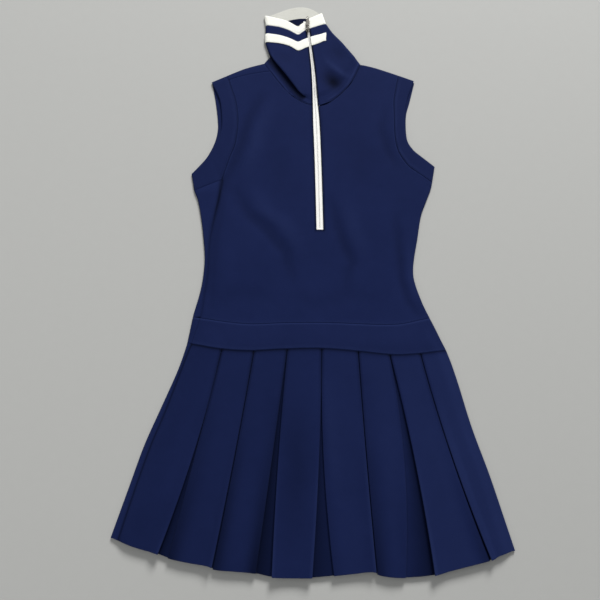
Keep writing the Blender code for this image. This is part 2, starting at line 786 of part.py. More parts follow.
def collar_tips(tops, first, rest):
    """Tips of the fold at one side of the collar, which turns as it leaves the neck."""
    tips = [fold_tip(tops[0], first), fold_tip(tops[1], first)]
    return tips + [fold_tip(p, rest) for p in tops[2:]]


def plain_run(neck, levels):
    """A column of the collar's front with no tuck."""
    low = min(collar_height(levels[0][1]), PLAIN_LOW)
    return collar_run(neck, levels, None, low, COLLAR_LEVEL - low, COLLAR_LEVEL)


def collar_ring(shape):
    """Columns of the collar from the zip round the neck and back to the zip."""
    neck_left = halve(shape.top_left[:SHOULDER_CELLS - 1:-1] + [LEFT_SHOULDER_FOLD[-1]])
    levels_left = [refine(level) for level in COLLAR_LEFT]
    columns = []
    for k, depth in enumerate(TUCK):
        neck = front_point(neck_left[k])
        levels = [level[k] for level in levels_left]
        if depth is None:
            columns.append(plain_run(neck, levels))
        else:
            columns.append(collar_run(neck, levels, depth, FRONT_LEVEL, 2 * PITCH,
                                      COLLAR_LEVEL))
    flat = plain_run(neck, levels)
    columns.append(collar_tips(flat, LEFT_SHOULDER_OUT, (-1, 0.1)))
    columns.append([Vector((p.x, p.y, GROUND)) for p in flat])

    neck_back = shape.back_top[SHOULDER_CELLS:-SHOULDER_CELLS]
    cells = len(neck_back) - 1
    for k in range(1, cells + 1):
        t = k / cells * BACK_REACH
        levels = []
        for left, right, bow in zip(COLLAR_LEFT, COLLAR_RIGHT, BACK_BOW):
            a = left[-1]
            b = right[-1]
            levels.append((a[0] + (b[0] - a[0]) * t,
                           a[1] + (b[1] - a[1]) * t + 4 * bow * t * (1 - t)))
        columns.append(collar_run(back_point(neck_back[k]), levels, None, GROUND, 0.0,
                                  GROUND))

    neck_right = halve(shape.top_right[:NECK_CELLS + 1])
    levels_right = [refine(level) for level in COLLAR_RIGHT]
    right = []
    for k, neck in enumerate(neck_right):
        right.append(plain_run(front_point(neck), [level[k] for level in levels_right]))
    columns.append([Vector((p.x, p.y, GROUND)) for p in right[-1]])
    columns.append(collar_tips(right[-1], RIGHT_SHOULDER_OUT, (0.8, 0.6)))
    return columns + right[::-1]


def collar(shape, navy, white):
    columns = collar_ring(shape)
    rows = [list(row) for row in zip(*columns)]
    cloth("collar", rows[:BAND_ROW], navy)
    cloth("collar_binding", rows[BAND_ROW:], white)
    out = WALL / 2 + SEAM + STRIPE_WALL / 2
    left = []
    right = []
    fold = len(TUCK) - 1
    for row in (rows[STRIPE_ROW], rows[STRIPE_ROW + 1]):
        line = [p + Vector((0, 0, out)) for p in row[:fold]]
        line.append(row[fold] + Vector((-0.414 * out, 0, out)))
        line.append(row[fold + 1] + Vector((-0.707 * out, 0, 0.707 * out)))
        left.append(line)
        right.append([p + Vector((0, 0, out)) for p in row[-STRIPE_RIGHT_COLUMNS:]])
    cloth("collar_stripe_left", left, white, wall=STRIPE_WALL)
    cloth("collar_stripe_right", right, white, wall=STRIPE_WALL)


def zip_tapes(white):
    for name, side in (("zip_tape_left", -1), ("zip_tape_right", 1)):
        inner = []
        outer = []
        for y, x, half, height in ZIP_LINE:
            z = height - PITCH
            if y == ZIP_BOTTOM:
                y -= TAPE_UNDER
            inner.append(Vector((x + side * SEAM / 2, y, z)))
            outer.append(Vector((x + side * (half + TAPE_UNDER), y, z)))
        cloth(name, [inner, outer] if side > 0 else [outer, inner], white)


def prism(name, outline, depth, axis, at, surface, holes=()):
    """Push a flat outline along an axis by a depth, both ways from its middle."""
    curve = bpy.data.curves.new(name, "CURVE")
    curve.dimensions = "2D"
    curve.fill_mode = "BOTH"
    curve.extrude = depth / 2 * MM
    for loop in [outline, *holes]:
        line = curve.splines.new("POLY")
        line.points.add(len(loop) - 1)
        line.use_cyclic_u = True
        for point, (a, b) in zip(line.points, loop):
            point.co = (a * MM, b * MM, 0, 1)
    curve.materials.append(surface)
    body = bpy.data.objects.new(name, curve)
    bpy.context.collection.objects.link(body)
    if axis == "X":
        body.rotation_euler = (math.pi / 2, 0, math.pi / 2)
    body.location = Vector(at) * MM
    return body


def circle(x, y, radius, count=12):
    return [(x + radius * math.cos(2 * math.pi * k / count),
             y + radius * math.sin(2 * math.pi * k / count)) for k in range(count)]


def slider(silver):
    """The slider's neck in the slot, its plate on the cloth and the crown over it."""
    x, y = SLIDER_AT
    neck_low = COLLAR_LEVEL - PITCH + WALL / 2 + SEAM
    plate_low = COLLAR_LEVEL + WALL / 2 + SEAM
    plate_top = plate_low + SLIDER_PLATE
    half = SLIDER_LENGTH / 2
    wide = SLIDER_WIDTH / 2
    plate = [(-wide * 0.62, -half), (wide * 0.62, -half), (wide * 0.8, -half * 0.2),
             (wide, half * 0.5), (wide * 0.7, half), (-wide * 0.7, half),
             (-wide, half * 0.5), (-wide * 0.8, -half * 0.2)]
    body = prism("zip_slider", plate, SLIDER_PLATE, "Z",
                 (x, y, (plate_low + plate_top) / 2), silver)
    narrow = SLIDER_NECK_WIDTH / 2
    neck = [(-narrow, -half + 2), (narrow, -half + 2), (narrow, half - 2),
            (-narrow, half - 2)]
    height = plate_low - neck_low + 0.4
    root = prism("slider_neck", neck, height, "Z", (x, y, neck_low + height / 2), silver)
    base = -0.4
    leg = CROWN_HALF - CROWN_LEG
    inside = CROWN_HEIGHT - CROWN_TOP
    arch = [(-CROWN_HALF, base), (-leg, base), (-leg, inside - 0.5), (-leg + 0.6, inside),
            (leg - 0.6, inside), (leg, inside - 0.5), (leg, base), (CROWN_HALF, base),
            (CROWN_HALF, CROWN_HEIGHT - 0.9), (CROWN_HALF - 0.9, CROWN_HEIGHT),
            (-CROWN_HALF + 0.9, CROWN_HEIGHT), (-CROWN_HALF, CROWN_HEIGHT - 0.9)]
    crown = prism("slider_crown", arch, CROWN_WIDTH, "X", (x, y, plate_top), silver)
    for extra in (root, crown):
        join = body.modifiers.new("Join", "BOOLEAN") if body.type == "MESH" else None
        if join is None:
            body = as_mesh(body)
            join = body.modifiers.new("Join", "BOOLEAN")
        join.operation = "UNION"
        join.object = as_mesh(extra)
        join.object.hide_render = True
        join.object.display_type = "WIRE"
    return plate_top + inside / 2


def as_mesh(body):
    """Swap a curve object for a mesh object with the same name, place and shape."""
    name = body.name
    bpy.context.view_layer.update()
    graph_now = bpy.context.evaluated_depsgraph_get()
    mesh = bpy.data.meshes.new_from_object(body.evaluated_get(graph_now))
    mesh.name = name
    place = body.matrix_world.copy()
    bpy.data.objects.remove(body)
    solid = bpy.data.objects.new(name, mesh)
    solid.matrix_world = place
    bpy.context.collection.objects.link(solid)
    return solid


def pull(silver, height):
    """The pull tab, whose cross bar turns in the crown's tunnel."""
    x, y = SLIDER_AT
    hinge = bpy.data.objects.new("pull_hinge", None)
    bpy.context.collection.objects.link(hinge)
    hinge.location = Vector((x, y, height)) * MM
    wide = PULL_WIDTH / 2
    bar = PULL_THICKNESS / 2
    far = PULL_LENGTH
    outline = [(-wide * 0.75, -bar), (wide * 0.75, -bar), (wide * 0.9, 3), (wide, 9),
               (wide * 0.85, 18), (wide * 0.8, far - 2.4), (wide * 0.45, far - 0.5),
               (0, far), (-wide * 0.45, far - 0.5), (-wide * 0.8, far - 2.4),
               (-wide * 0.85, 18), (-wide, 9), (-wide * 0.9, 3)]
    half, reach = PULL_WINDOW[0] / 2, PULL_WINDOW[1]
    window = [(-half, bar), (half, bar), (half, reach), (-half, reach)]
    hole = circle(0, far - 3.2, PULL_HOLE)
    tab = prism("zip_pull", outline, PULL_THICKNESS, "Z", (0, 0, 0), silver,
                holes=(window, hole))
    tab = as_mesh(tab)
    tab.parent = hinge


def main():
    for old in list(bpy.data.objects):
        bpy.data.objects.remove(old, do_unlink=True)
    navy = material("navy knit", NAVY, 0.9)
    white = material("white rib", WHITE, 0.85)
    silver = material("silver metal", SILVER, 0.3, 1.0)
    shape = Bodice()
    front_bodice(shape, navy)
    back_bodice(shape, navy)
    armhole_bands(shape, navy)
    waistbands(shape, navy)
    front_skirt(navy)
    back_skirt(navy)
    collar(shape, navy, white)
    zip_tapes(white)
    height = slider(silver)
    pull(silver, height)


main()
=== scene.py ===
import math

import bmesh
import bpy
from mathutils import Matrix, Vector, noise


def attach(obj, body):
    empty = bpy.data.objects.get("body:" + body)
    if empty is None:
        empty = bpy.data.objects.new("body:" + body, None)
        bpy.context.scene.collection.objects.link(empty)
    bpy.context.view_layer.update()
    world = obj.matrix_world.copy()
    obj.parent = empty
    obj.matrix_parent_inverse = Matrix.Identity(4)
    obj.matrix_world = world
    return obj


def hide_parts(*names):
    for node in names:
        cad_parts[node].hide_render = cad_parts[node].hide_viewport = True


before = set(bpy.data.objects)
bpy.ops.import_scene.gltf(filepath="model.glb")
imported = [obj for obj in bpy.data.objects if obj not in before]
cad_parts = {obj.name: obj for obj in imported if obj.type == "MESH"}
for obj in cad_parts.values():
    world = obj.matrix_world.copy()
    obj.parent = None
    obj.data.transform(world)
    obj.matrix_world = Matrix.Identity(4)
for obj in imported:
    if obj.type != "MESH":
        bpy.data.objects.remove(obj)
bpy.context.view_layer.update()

print("golf dress: the CAD frame is in")

# Sizes and tables are in millimetres, in the CAD's own frame: X to the right of the
# front as it is seen, Y from the hem to the collar, Z up. The dress is a flattened tube.
mm = 0.001
ground = 0.6            # middle of the wall that lies on the floor
seamGap = 0.3           # clear gap where two pieces meet
foldRadius = 1.3
foldTop = ground + 2 * foldRadius
knit = {
    "wall": 1.2,            # thickness of the double knit
    "foldCells": 6,         # cells round a side or shoulder fold
    "frontLevel": 3.9,      # middle of the front wall over the bodice
    "pleatLevel": 8.1,      # middle of the skirt's front faces
    "collarLevel": 5.6,
    "backTop": 2.4,         # a point lower than this belongs to the back
    "creasedLow": 2.2,      # the bodice's creases press its front down to this
    "leftRise": 28.0,       # how far in from a fold the front reaches its level
    "rightRise": 20.0,
    "leftOut": (-0.35, 0.93),   # way out from each shoulder's fold
    "rightOut": (0.3, 0.95),
    "wrap": 8.0,            # the front turns under this far at the right
    "risesFrom": -100.0,    # the front starts to rise towards the pleats
    "risesTo": -150.0,
    "rollReach": (0.9, 2.2),    # a sewn edge rolls down over this distance
    "rollDrop": (0.5, 0.14),
    "creaseDepth": 1.7,     # how much deeper the creases are than their tables say
    "creaseEnd": 0.06,      # share of a crease that is cut off at each end
    "creaseFade": 0.7,
    "sway": 0.35,           # height of the cloth's slow waves
    "swayScale": 0.012,
    "clearance": 0.15,      # least air between front and back
}
pitch = knit["wall"] + seamGap

# y, x of the left side fold, x of the left side seam on the front
leftSide = [
    (152, -201, -150), (140, -198.5, -150), (121, -195.3, -152), (105, -189, -154),
    (73, -182, -160), (32, -176, -166), (-2, -173, -167), (-36, -175, -168),
    (-60, -179, -171), (-97, -188, -176), (-131, -193, -185), (-165, -202, -197),
    (-189, -210, -205), (-249, -234, -225), (-297, -253, -243), (-361, -273, -263),
    (-429, -294, -282),
]
# y, x of the right side fold
rightSide = [
    (165, 210), (125, 202), (107, 195), (76, 183), (36, 175), (-11, 166), (-36, 166),
    (-74, 177), (-102, 189), (-152, 211), (-194, 224), (-270, 243), (-341, 265),
    (-399, 281), (-447, 294),
]

# x, y of the seams above and below the waistband
upperWaist = [(-195, -97), (-138, -106), (-96, -110), (-43, -108), (30, -108),
               (109, -111), (141, -110), (170, -104), (195, -98)]
lowerWaist = [(-200, -139), (-150, -149), (-100, -153), (-45, -150.5), (15, -149.5),
               (73, -154), (130, -159.5), (175, -157), (215, -151)]


def shareOf(t):
    return max(0.0, min(1.0, t))


def easeInOut(t):
    t = shareOf(t)
    return t * t * (3 - 2 * t)


def curveThrough(table, key, column=1):
    # height of a smooth curve through a table whose rows run along their first column
    rows = sorted(table)
    if key <= rows[0][0]:
        return rows[0][column]
    if key >= rows[-1][0]:
        return rows[-1][column]
    k = 0
    while key > rows[k + 1][0]:
        k += 1
    a, b = rows[k], rows[k + 1]
    before = rows[k - 1] if k else a
    after = rows[k + 2] if k + 2 < len(rows) else b
    span = b[0] - a[0]
    rise = b[column] - a[column]
    slopeA = (b[column] - before[column]) / (b[0] - before[0])
    slopeB = (after[column] - a[column]) / (after[0] - a[0])
    t = (key - a[0]) / span
    bend = slopeA * span - rise
    sway = rise - slopeB * span
    return a[column] + t * rise + t * (1 - t) * (bend * (1 - t) + sway * t)


def pointAlong(points, t):
    # a point at t, from 0 to 1, on a smooth curve through plane points
    lengths = [math.dist(a, b) for a, b in zip(points, points[1:])]
    place = t * sum(lengths)
    k = 0
    while k < len(lengths) - 1 and place > lengths[k]:
        place -= lengths[k]
        k += 1
    u = min(1.0, place / lengths[k])
    p1, p2 = points[k], points[k + 1]
    p0 = points[k - 1] if k else p1
    p3 = points[k + 2] if k + 2 < len(points) else p2
    return tuple(b + 0.5 * u * (c - a + u * (2 * a - 5 * b + 4 * c - d
                                              + u * (3 * b - a - 3 * c + d)))
                 for a, b, c, d in zip(p0, p1, p2, p3))


def evenPoints(points, cells):
    return [pointAlong(points, i / cells) for i in range(cells + 1)]


def leftFold(y):
    return curveThrough(leftSide, y, 1)


def leftSeam(y):
    return curveThrough(leftSide, y, 2)


def rightFold(y):
    return curveThrough(rightSide, y, 1)


def fades(distance, reach):
    return math.exp(-(distance / reach) ** 2)


def nearest(x, y, path):
    # how far a place is from a path, and the share of the path's length where that is
    spans = [max(math.dist(a, b), 1e-6) for a, b in zip(path, path[1:])]
    best, done, total = (1e9, 0.0), 0.0, sum(spans)
    for a, b, span in zip(path, path[1:], spans):
        t = ((x - a[0]) * (b[0] - a[0]) + (y - a[1]) * (b[1] - a[1])) / span ** 2
        t = max(0.0, min(1.0, t))
        away = math.dist((x, y), (a[0] + (b[0] - a[0]) * t, a[1] + (b[1] - a[1]) * t))
        if away < best[0]:
            best = (away, (done + t * span) / total)
        done += span
    return best


# Soft troughs (depth above 0) and ridges (below 0) that the cloth lies in: width, depth
# and a path. Each is deepest half way along and fades out at both ends.
frontCreases = [
    (10, 1.5, [(-125, 117), (-104, 77), (-71, 49), (-42, 11), (-31, -37)]),
    (14, -0.7, [(-98, 122), (-76, 84), (-44, 58), (-16, 18)]),
    (8.5, 1.3, [(34, 103), (43, 58), (57, 14), (67, -6), (54, -54)]),
    (13, -0.6, [(62, 96), (70, 52), (84, 10)]),
    (7.5, 1.5, [(140, 70), (146, 0), (147, -37), (155, -74), (172, -96)]),
    (7, -0.6, [(158, 20), (159, -30), (168, -70)]),
    (9.5, 1.5, [(-84, 299), (-106, 256), (-117, 214), (-128, 176), (-148, 128)]),
    (14, -0.7, [(-70, 280), (-88, 236), (-98, 190), (-108, 150)]),
    (7, 1.2, [(-146, 140), (-151, 86), (-158, 32), (-160, -37), (-160, -82)]),
    (8, 1.0, [(131, 271), (123, 233), (130, 195), (146, 161)]),
    (13, 0.4, [(-150, -72), (-114, -60), (-70, -68)]),
    (14, 0.45, [(-30, -66), (14, -78), (65, -64), (118, -72)]),
    (22, 0.5, [(-60, 200), (-52, 150), (-60, 100)]),
    (24, 0.5, [(70, 230), (84, 180), (78, 120)]),
]
backCreases = [
    (12, -0.4, [(-130, 120), (-90, 60), (-60, 10)]),
    (14, -0.45, [(40, 260), (70, 190), (60, 120)]),
    (11, -0.4, [(-60, 290), (-30, 230), (-40, 150)]),
    (13, -0.45, [(120, 90), (95, 30), (110, -50)]),
    (9, -0.35, [(-120, -40), (-60, -60), (10, -50)]),
]
collarCreases = [
    (13, 2.9, [(30, 340), (40, 328), (50, 316)]),
    (5, -1.0, [(28, 370), (40, 356), (57, 341), (68, 338)]),
    (12, 0.5, [(-30, 380), (-44, 372), (-56, 384)]),
    (10, 0.7, [(40, 395), (52, 382), (60, 372)]),
]
# painted shade and light that only make the skirt's faces a little darker or lighter
skirtShades = [
    (22, 0.30, [(-26, -250), (-22, -330), (-30, -420)]),
    (12, -0.10, [(20, -200), (30, -290), (34, -380)]),
    (10, 0.16, [(-110, -300), (-128, -380), (-140, -450)]),
    (16, -0.14, [(190, -250), (214, -340), (236, -420)]),
    (16, -0.08, [(-170, -210), (-196, -300), (-230, -400)]),
]


def creaseDepth(x, y, creases):
    # how far the creases push the cloth down at a place
    depth, end = 0.0, knit["creaseEnd"]
    for wide, deep, path in creases:
        if min(path)[0] - 3 * wide < x < max(path)[0] + 3 * wide:
            away, share = nearest(x, y, path)
            fade = math.sin(math.pi * (end + (1 - 2 * end) * share)) ** knit["creaseFade"]
            depth += deep * fade * fades(away, wide)
    return depth


def frontHeight(x, y, creased=True):
    # height of the middle of the front wall
    rise = easeInOut((knit["risesFrom"] - y) / (knit["risesFrom"] - knit["risesTo"]))
    level = knit["frontLevel"] + (knit["pleatLevel"] - knit["frontLevel"]) * rise
    inside = min(easeInOut((x - leftFold(y)) / knit["leftRise"]),
                 easeInOut((rightFold(y) - x) / knit["rightRise"]))
    height = foldTop + (level - foldTop) * inside
    if creased:
        scale = knit["swayScale"]
        sway = knit["sway"] * noise.noise(Vector((x * scale, y * scale, 3.1)))
        deep = knit["creaseDepth"] * creaseDepth(x, y, frontCreases)
        height = max(height + (sway - deep) * inside, ground + pitch + knit["clearance"])
    return height


def onFront(p):
    return Vector((p[0], p[1], frontHeight(p[0], p[1])))


def onBack(p):
    # the back lies on the floor, apart from where a crease lifts it a little
    return Vector((p[0], p[1], ground - creaseDepth(p[0], p[1], backCreases)))


def atHeight(p, z):
    return Vector((p[0], p[1], z))


def foldRound(top, out):
    # points round a fold, from the front layer's last point to the one under it
    radius = (top.z - ground) / 2
    ring = []
    for k in range(1, knit["foldCells"]):
        angle = math.pi * k / knit["foldCells"]
        reach = radius * math.sin(angle)
        ring.append(Vector((top.x + out[0] * reach, top.y + out[1] * reach,
                            ground + radius + radius * math.cos(angle))))
    return ring


def stepTo(point, other, distance):
    gap = other - point
    return point + gap.normalized() * distance


def filled(bottom, top, left, right):
    # rows of plane points that fill four edges
    columns, rows = len(bottom) - 1, len(left) - 1
    grid = []
    for j in range(rows + 1):
        v = j / rows
        line = []
        for i in range(columns + 1):
            u = i / columns
            line.append(tuple((1 - v) * bottom[i][k] + v * top[i][k]
                              + (1 - u) * left[j][k] + u * right[j][k]
                              - (1 - u) * (1 - v) * bottom[0][k] - u * (1 - v) * bottom[-1][k]
                              - (1 - u) * v * top[0][k] - u * v * top[-1][k]
                              for k in (0, 1)))
        grid.append(line)
    return grid


def crossed(rows):
    return [list(line) for line in zip(*rows)]


def closeRows(rows, atStart=True, atEnd=True):
    # two more rows near a sewn edge, so that it can roll down sharply
    def near(edge, inner):
        return [[stepTo(a, b, reach) if a is not None and b is not None else None
                 for a, b in zip(edge, inner)] for reach in knit["rollReach"]]
    result = list(rows)
    if atStart:
        result[1:1] = near(rows[0], rows[1])
    if atEnd:
        result[-1:-1] = near(rows[-1], rows[-2])[::-1]
    return result


def lowered(point, step, share=1.0):
    # a point of a sewn edge: step 0 is the edge itself, 1 the row beside it
    return point - Vector((0, 0, share * knit["rollDrop"][step]))


def rolled(rows, j, i, step):
    if rows[j][i] is not None:
        rows[j][i] = lowered(rows[j][i], step)


def rollEnds(rows, above):
    # rolls the first and last rows down where they are higher than the level given
    for step in (0, 1):
        for edge in (step, len(rows) - 1 - step):
            for i, point in enumerate(rows[edge]):
                if point.z > above:
                    rolled(rows, edge, i, step)


# How much painted shade darkens the cloth (below 0) in hollows, creases, pleats and along seams,
# and how much painted highlight lightens it (above 0) on raised edges and ridges.
# Along the seams: how strong a line is, how far from the seam it lies and how wide it is.
seamTones = {
    "zip": (-1.0, 1.2, 1.6),
    "neck": (-0.6, 0.0, 1.6),
    "bodiceFoot": (0.10, 2.0, 1.4),
    "bodiceSeam": (-1.0, 0.0, 2.6),
    "bandTop": (0.22, -1.6, 1.3),
    "bandFoot": (0.14, 2.6, 1.6),
    "ringEdge": (0.22, 3.4, 1.3),
    "ringSeam": (-0.55, 0.0, 1.8),
    "wrap": (-0.6, 0.0, 2.0),
    "skirtSeam": (-0.75, 0.0, 1.7),
    "pleatTop": (-1.0, 0.0, 1.5),
    "pleatEdge": (0.3, 0.6, 1.3),
    "collarRight": (0.3, 4.6, 1.7),
    "collarLeft": (0.25, 3.2, 1.3),
    "tuckEdge": (0.35, 0.0, 2.2),
}
areaTones = {
    "binding": -0.50,           # the back's inside, in the shade of the front
    "mouth": (-0.72, 420),      # painted shade inside the collar: strength, and y where it starts
    "bodiceCrease": -0.20,      # painted shade for each millimetre that a crease is deep
    # painted shade in the collar's creases, for each millimetre that a crease is deep
    "collarCrease": -0.36,
    "waist": (-1.0, 0.8, 1.9),  # painted shadow under the waistband: strength, start and reach
    "neck": (0.35, 4, 9, 270),  # painted shade along the neck seam: its line's share left of an x, x of the zip, lowest y
    # the painted shade along the bodice's left seam grows darker upwards: least, more, start, over
    # what, end
    "seamFrom": (0.25, 0.6, 20, 90, 150),
    "tuck": (1.7, -4, 14),      # painted shadow under the tuck: strength, where it starts, over what width
}


def seamTone(name, away):
    strength, offset, reach = seamTones[name]
    return strength * fades(away - offset, reach)


# painted shade on the binding's inside at the back, under the front
def bindingTone(p):
    return areaTones["binding"] if p.z < knit["backTop"] else 0.0


def byZip(p):
    # painted shade on the turned edges beside the zip
    middle, half, _ = zipPlace(p.y)
    away = abs(p.x - middle) - half
    inside = p.y > zipLine[0][0] - 2 and away > -3
    return seamTone("zip", max(away, seamTones["zip"][1])) if inside else 0.0


def byNeck(p):
    # painted shade along the seam between bodice and collar
    share, left, zipX, low = areaTones["neck"]
    if p.y < low:
        return 0.0
    away = nearest(p.x, p.y, neckLeft if p.x < zipX else neckRight)[0]
    return seamTone("neck", away) * (share if p.x < left else 1.0)


# painted shade in the bodice's creases and along its seams, painted highlight on its ridges and
# above the waist seam
def bodiceTone(p):
    if p.z < knit["creasedLow"]:
        return 0.0
    tone = areaTones["bodiceCrease"] * creaseDepth(p.x, p.y, frontCreases)
    tone += seamTone("bodiceFoot", p.y - curveThrough(upperWaist, p.x))
    least, more, start, reach, end = areaTones["seamFrom"]
    if p.y < end:
        strong = least + more * easeInOut((p.y - start) / reach)
        tone += strong * seamTone("bodiceSeam", p.x - leftSeam(p.y))
    return tone + byZip(p) + byNeck(p)


# painted highlight along the waistband's top and foot
def bandTone(p):
    if p.z < knit["creasedLow"]:
        return 0.0
    return (seamTone("bandTop", p.y - curveThrough(upperWaist, p.x))
            + seamTone("bandFoot", p.y - curveThrough(lowerWaist, p.x)))


def ringTone(p):
    # painted shade along the seam that joins an armhole band to the bodice, with a painted
    # highlight beside it
    if p.z < knit["creasedLow"]:
        return 0.0
    away = nearest(p.x, p.y, leftArmholeFront if p.x < 0 else rightArmholeFront)[0]
    return seamTone("ringEdge", away) + seamTone("ringSeam", away)


def wrapTone(p):
    # painted shade along the seam of the back where it comes round to the front at the left
    return seamTone("wrap", p.x - leftSeam(p.y)) if p.z > knit["backTop"] else 0.0


# painted shade under the waistband, along the seam and the pleat edges and inside the pleats;
# painted highlight on raised pleat edges, and painted light growing towards the right
def skirtTone(p):
    if p.z < knit["backTop"]:
        return 0.0
    strength, start, reach = areaTones["waist"]
    waist = curveThrough(lowerWaist, p.x)
    below = waist - p.y
    v = shareOf(below / (waist - curveThrough(hemLine, p.x)))
    tone = strength * math.exp(-max(0.0, below - start) / reach) + skirt["paintedLightRight"] * p.x
    tone += seamTone("skirtSeam", p.x - leftSeam(p.y)) - creaseDepth(p.x, p.y, skirtShades)
    top = skirt["topLine"] * max(0.0, 1 - skirt["topFade"] * v)
    grown = v ** 1.5
    for row in frontPleats:
        left, right, _, _ = pleatEdges(row, v)
        if (left - skirt["deep"] < p.x < right + skirt["deep"]
                and p.z < knit["pleatLevel"] - 0.8 * pitch):
            share = shareOf((p.x - left) / max(right - left, 2.0))
            return row["darkLeft"] + (row["darkRight"] - row["darkLeft"]) * share
        for name, away in (("left", left - p.x), ("right", p.x - right)):
            tone += top * seamTone("pleatTop", away)
            if away > -1:
                tone -= row[name + "Shade"] * grown * fades(max(0.0, away), row["reach"])
                tone += row[name + "Lift"] * v * seamTone("pleatEdge", away)
    return tone


# painted shade inside the collar, in its creases, beside the zip and neck seam and under the tuck;
# painted highlight on its ridges, beside the neck seam and on the tuck's edge
def collarTone(p):
    if p.z < knit["backTop"]:
        strength, start = areaTones["mouth"]
        return strength if p.y > start else 0.0
    tone = areaTones["collarCrease"] * creaseDepth(p.x, p.y, collarCreases)
    tone += byZip(p) + byNeck(p)
    if p.x > 14:
        tone += seamTone("collarRight", nearest(p.x, p.y, neckRight)[0])
    elif p.x < 2:
        tone += seamTone("collarLeft", nearest(p.x, p.y, neckLeft)[0])
    if p.x < 4 and p.z < knit["frontLevel"] + 1.0:
        strength, start, width = areaTones["tuck"]
        away = nearest(p.x, p.y, collarLeft[0][1:])[0]
        reach = collar["shadow"] * shareOf((start - p.x) / width)
        tone -= min(1.0, strength * max(0.0, 1 - away / max(reach, 0.1)))
    elif p.x < 0:
        tone += seamTone("tuckEdge", nearest(p.x, p.y, collarLeft[0])[0])
    return tone


# Materials. Patterns follow the cloth's own UV map, which is in metres along the cloth.

class Shades:
    # the few steps that every material here repeats
    def __init__(self, name, color, values):
        self.material = bpy.data.materials.new(name)
        self.material.use_nodes = True
        self.material.diffuse_color = (*color, 1.0)
        self.tree = self.material.node_tree
        self.shader = self.tree.nodes["Principled BSDF"]
        self.fill(self.shader, {"Base Color": (*color, 1.0), **values})
        self.coords = self.tree.nodes.new("ShaderNodeTexCoord").outputs

    def fill(self, node, values):
        # numbers and colours go on the node's sockets, and another node's output is joined
        for key, value in values.items():
            if isinstance(value, (int, float, tuple)):
                node.inputs[key].default_value = value
            else:
                self.tree.links.new(value, node.inputs[key])
        return node.outputs

    def node(self, kind, values, **settings):
        made = self.tree.nodes.new("ShaderNode" + kind)
        for key, value in settings.items():
            setattr(made, key, value)
        return self.fill(made, values)

    def number(self, operation, *values):
        return self.node("Math", dict(enumerate(values)), operation=operation)[0]

    def grain(self, coords, scale, detail, roughness):
        return self.node("TexNoise", {"Scale": scale, "Detail": detail, "Roughness": roughness,
                                      "Vector": self.coords[coords]})["Fac"]

    def blended(self, factor, dark, light):
        a, b = [(*end, 1.0) if isinstance(end, tuple) else end for end in (dark, light)]
        return self.node("Mix", {"Factor": factor, "A": a, "B": b}, data_type="RGBA")["Result"]

    def stretched(self, factor, low, high):
        return self.node("MapRange", {"Value": factor, "From Min": low,
                                      "From Max": high})["Result"]

    def summed(self, parts):
        # parts are pairs of a share and a pattern
        total = self.number("MULTIPLY", parts[0][1], parts[0][0])
        for share, pattern in parts[1:]:
            total = self.number("MULTIPLY_ADD", pattern, share, total)
        return total

    def painted(self, color):
        self.fill(self.shader, {"Base Color": color})

    def bumped(self, height, strength, distance):
        bump = self.node("Bump", {"Strength": strength, "Distance": distance, "Height": height})
        self.fill(self.shader, {"Normal": bump["Normal"]})

    def paintShadeAndHighlight(self, color, deep, wearAndHighlight):
        # painted shade where the "tone" attribute is below 0, and painted highlight where it is
        # above
        amount = self.node("Attribute", {}, attribute_name="tone")["Fac"]
        color = self.blended(self.number("ADD", amount, 1.0), deep, color)
        self.painted(self.blended(amount, color, wearAndHighlight))

    def stitches(self, wale, course, slant):
        # rows of knitted loops: two slanting legs a stitch, side by side in columns
        split = self.node("SeparateXYZ", {"Vector": self.coords["UV"]})
        across = self.number("MULTIPLY", split["X"], 1 / wale)
        along = self.number("MULTIPLY", split["Y"], 1 / course)
        side = self.number("ABSOLUTE", self.number("SUBTRACT", self.number("FRACT", across), 0.5))
        side = self.number("MULTIPLY", side, 2.0)
        legs = self.number("MULTIPLY_ADD", side, slant, along)
        wave = self.number("SINE", self.number("MULTIPLY", legs, 2 * math.pi))
        rounded = self.number("SINE", self.number("MULTIPLY", side, math.pi))
        height = self.number("MULTIPLY_ADD", wave, 0.3, 0.5)
        return self.number("MULTIPLY", height, self.number("MULTIPLY_ADD", rounded, 0.6, 0.4))


navyKnit = {
    "deep": (0.0004, 0.0018, 0.0110),   # painted shade in the hollows
    "dark": (0.0042, 0.0085, 0.0400),
    "light": (0.0085, 0.0150, 0.0640),
    "wearAndHighlight": (0.0200, 0.0320, 0.1050),   # painted highlight along raised edges and seams
    "course": 0.0008,       # height of a stitch
    "slant": 0.5,
    "spread": (0.35, 1.15), # of the patterns' sum, from dark to light
    "bump": 0.35,
    "shader": {"Roughness": 0.86, "Specular IOR Level": 0.05, "Sheen Weight": 0.035,
               "Sheen Roughness": 0.45, "Sheen Tint": (0.50, 0.60, 1.0, 1.0)},
}
whiteKnit = {
    "slant": 0.35,
    "spread": (0.2, 1.0),
    "bump": 0.45,
    "shader": {"Roughness": 0.82, "Sheen Weight": 0.15, "Sheen Roughness": 0.5},
}


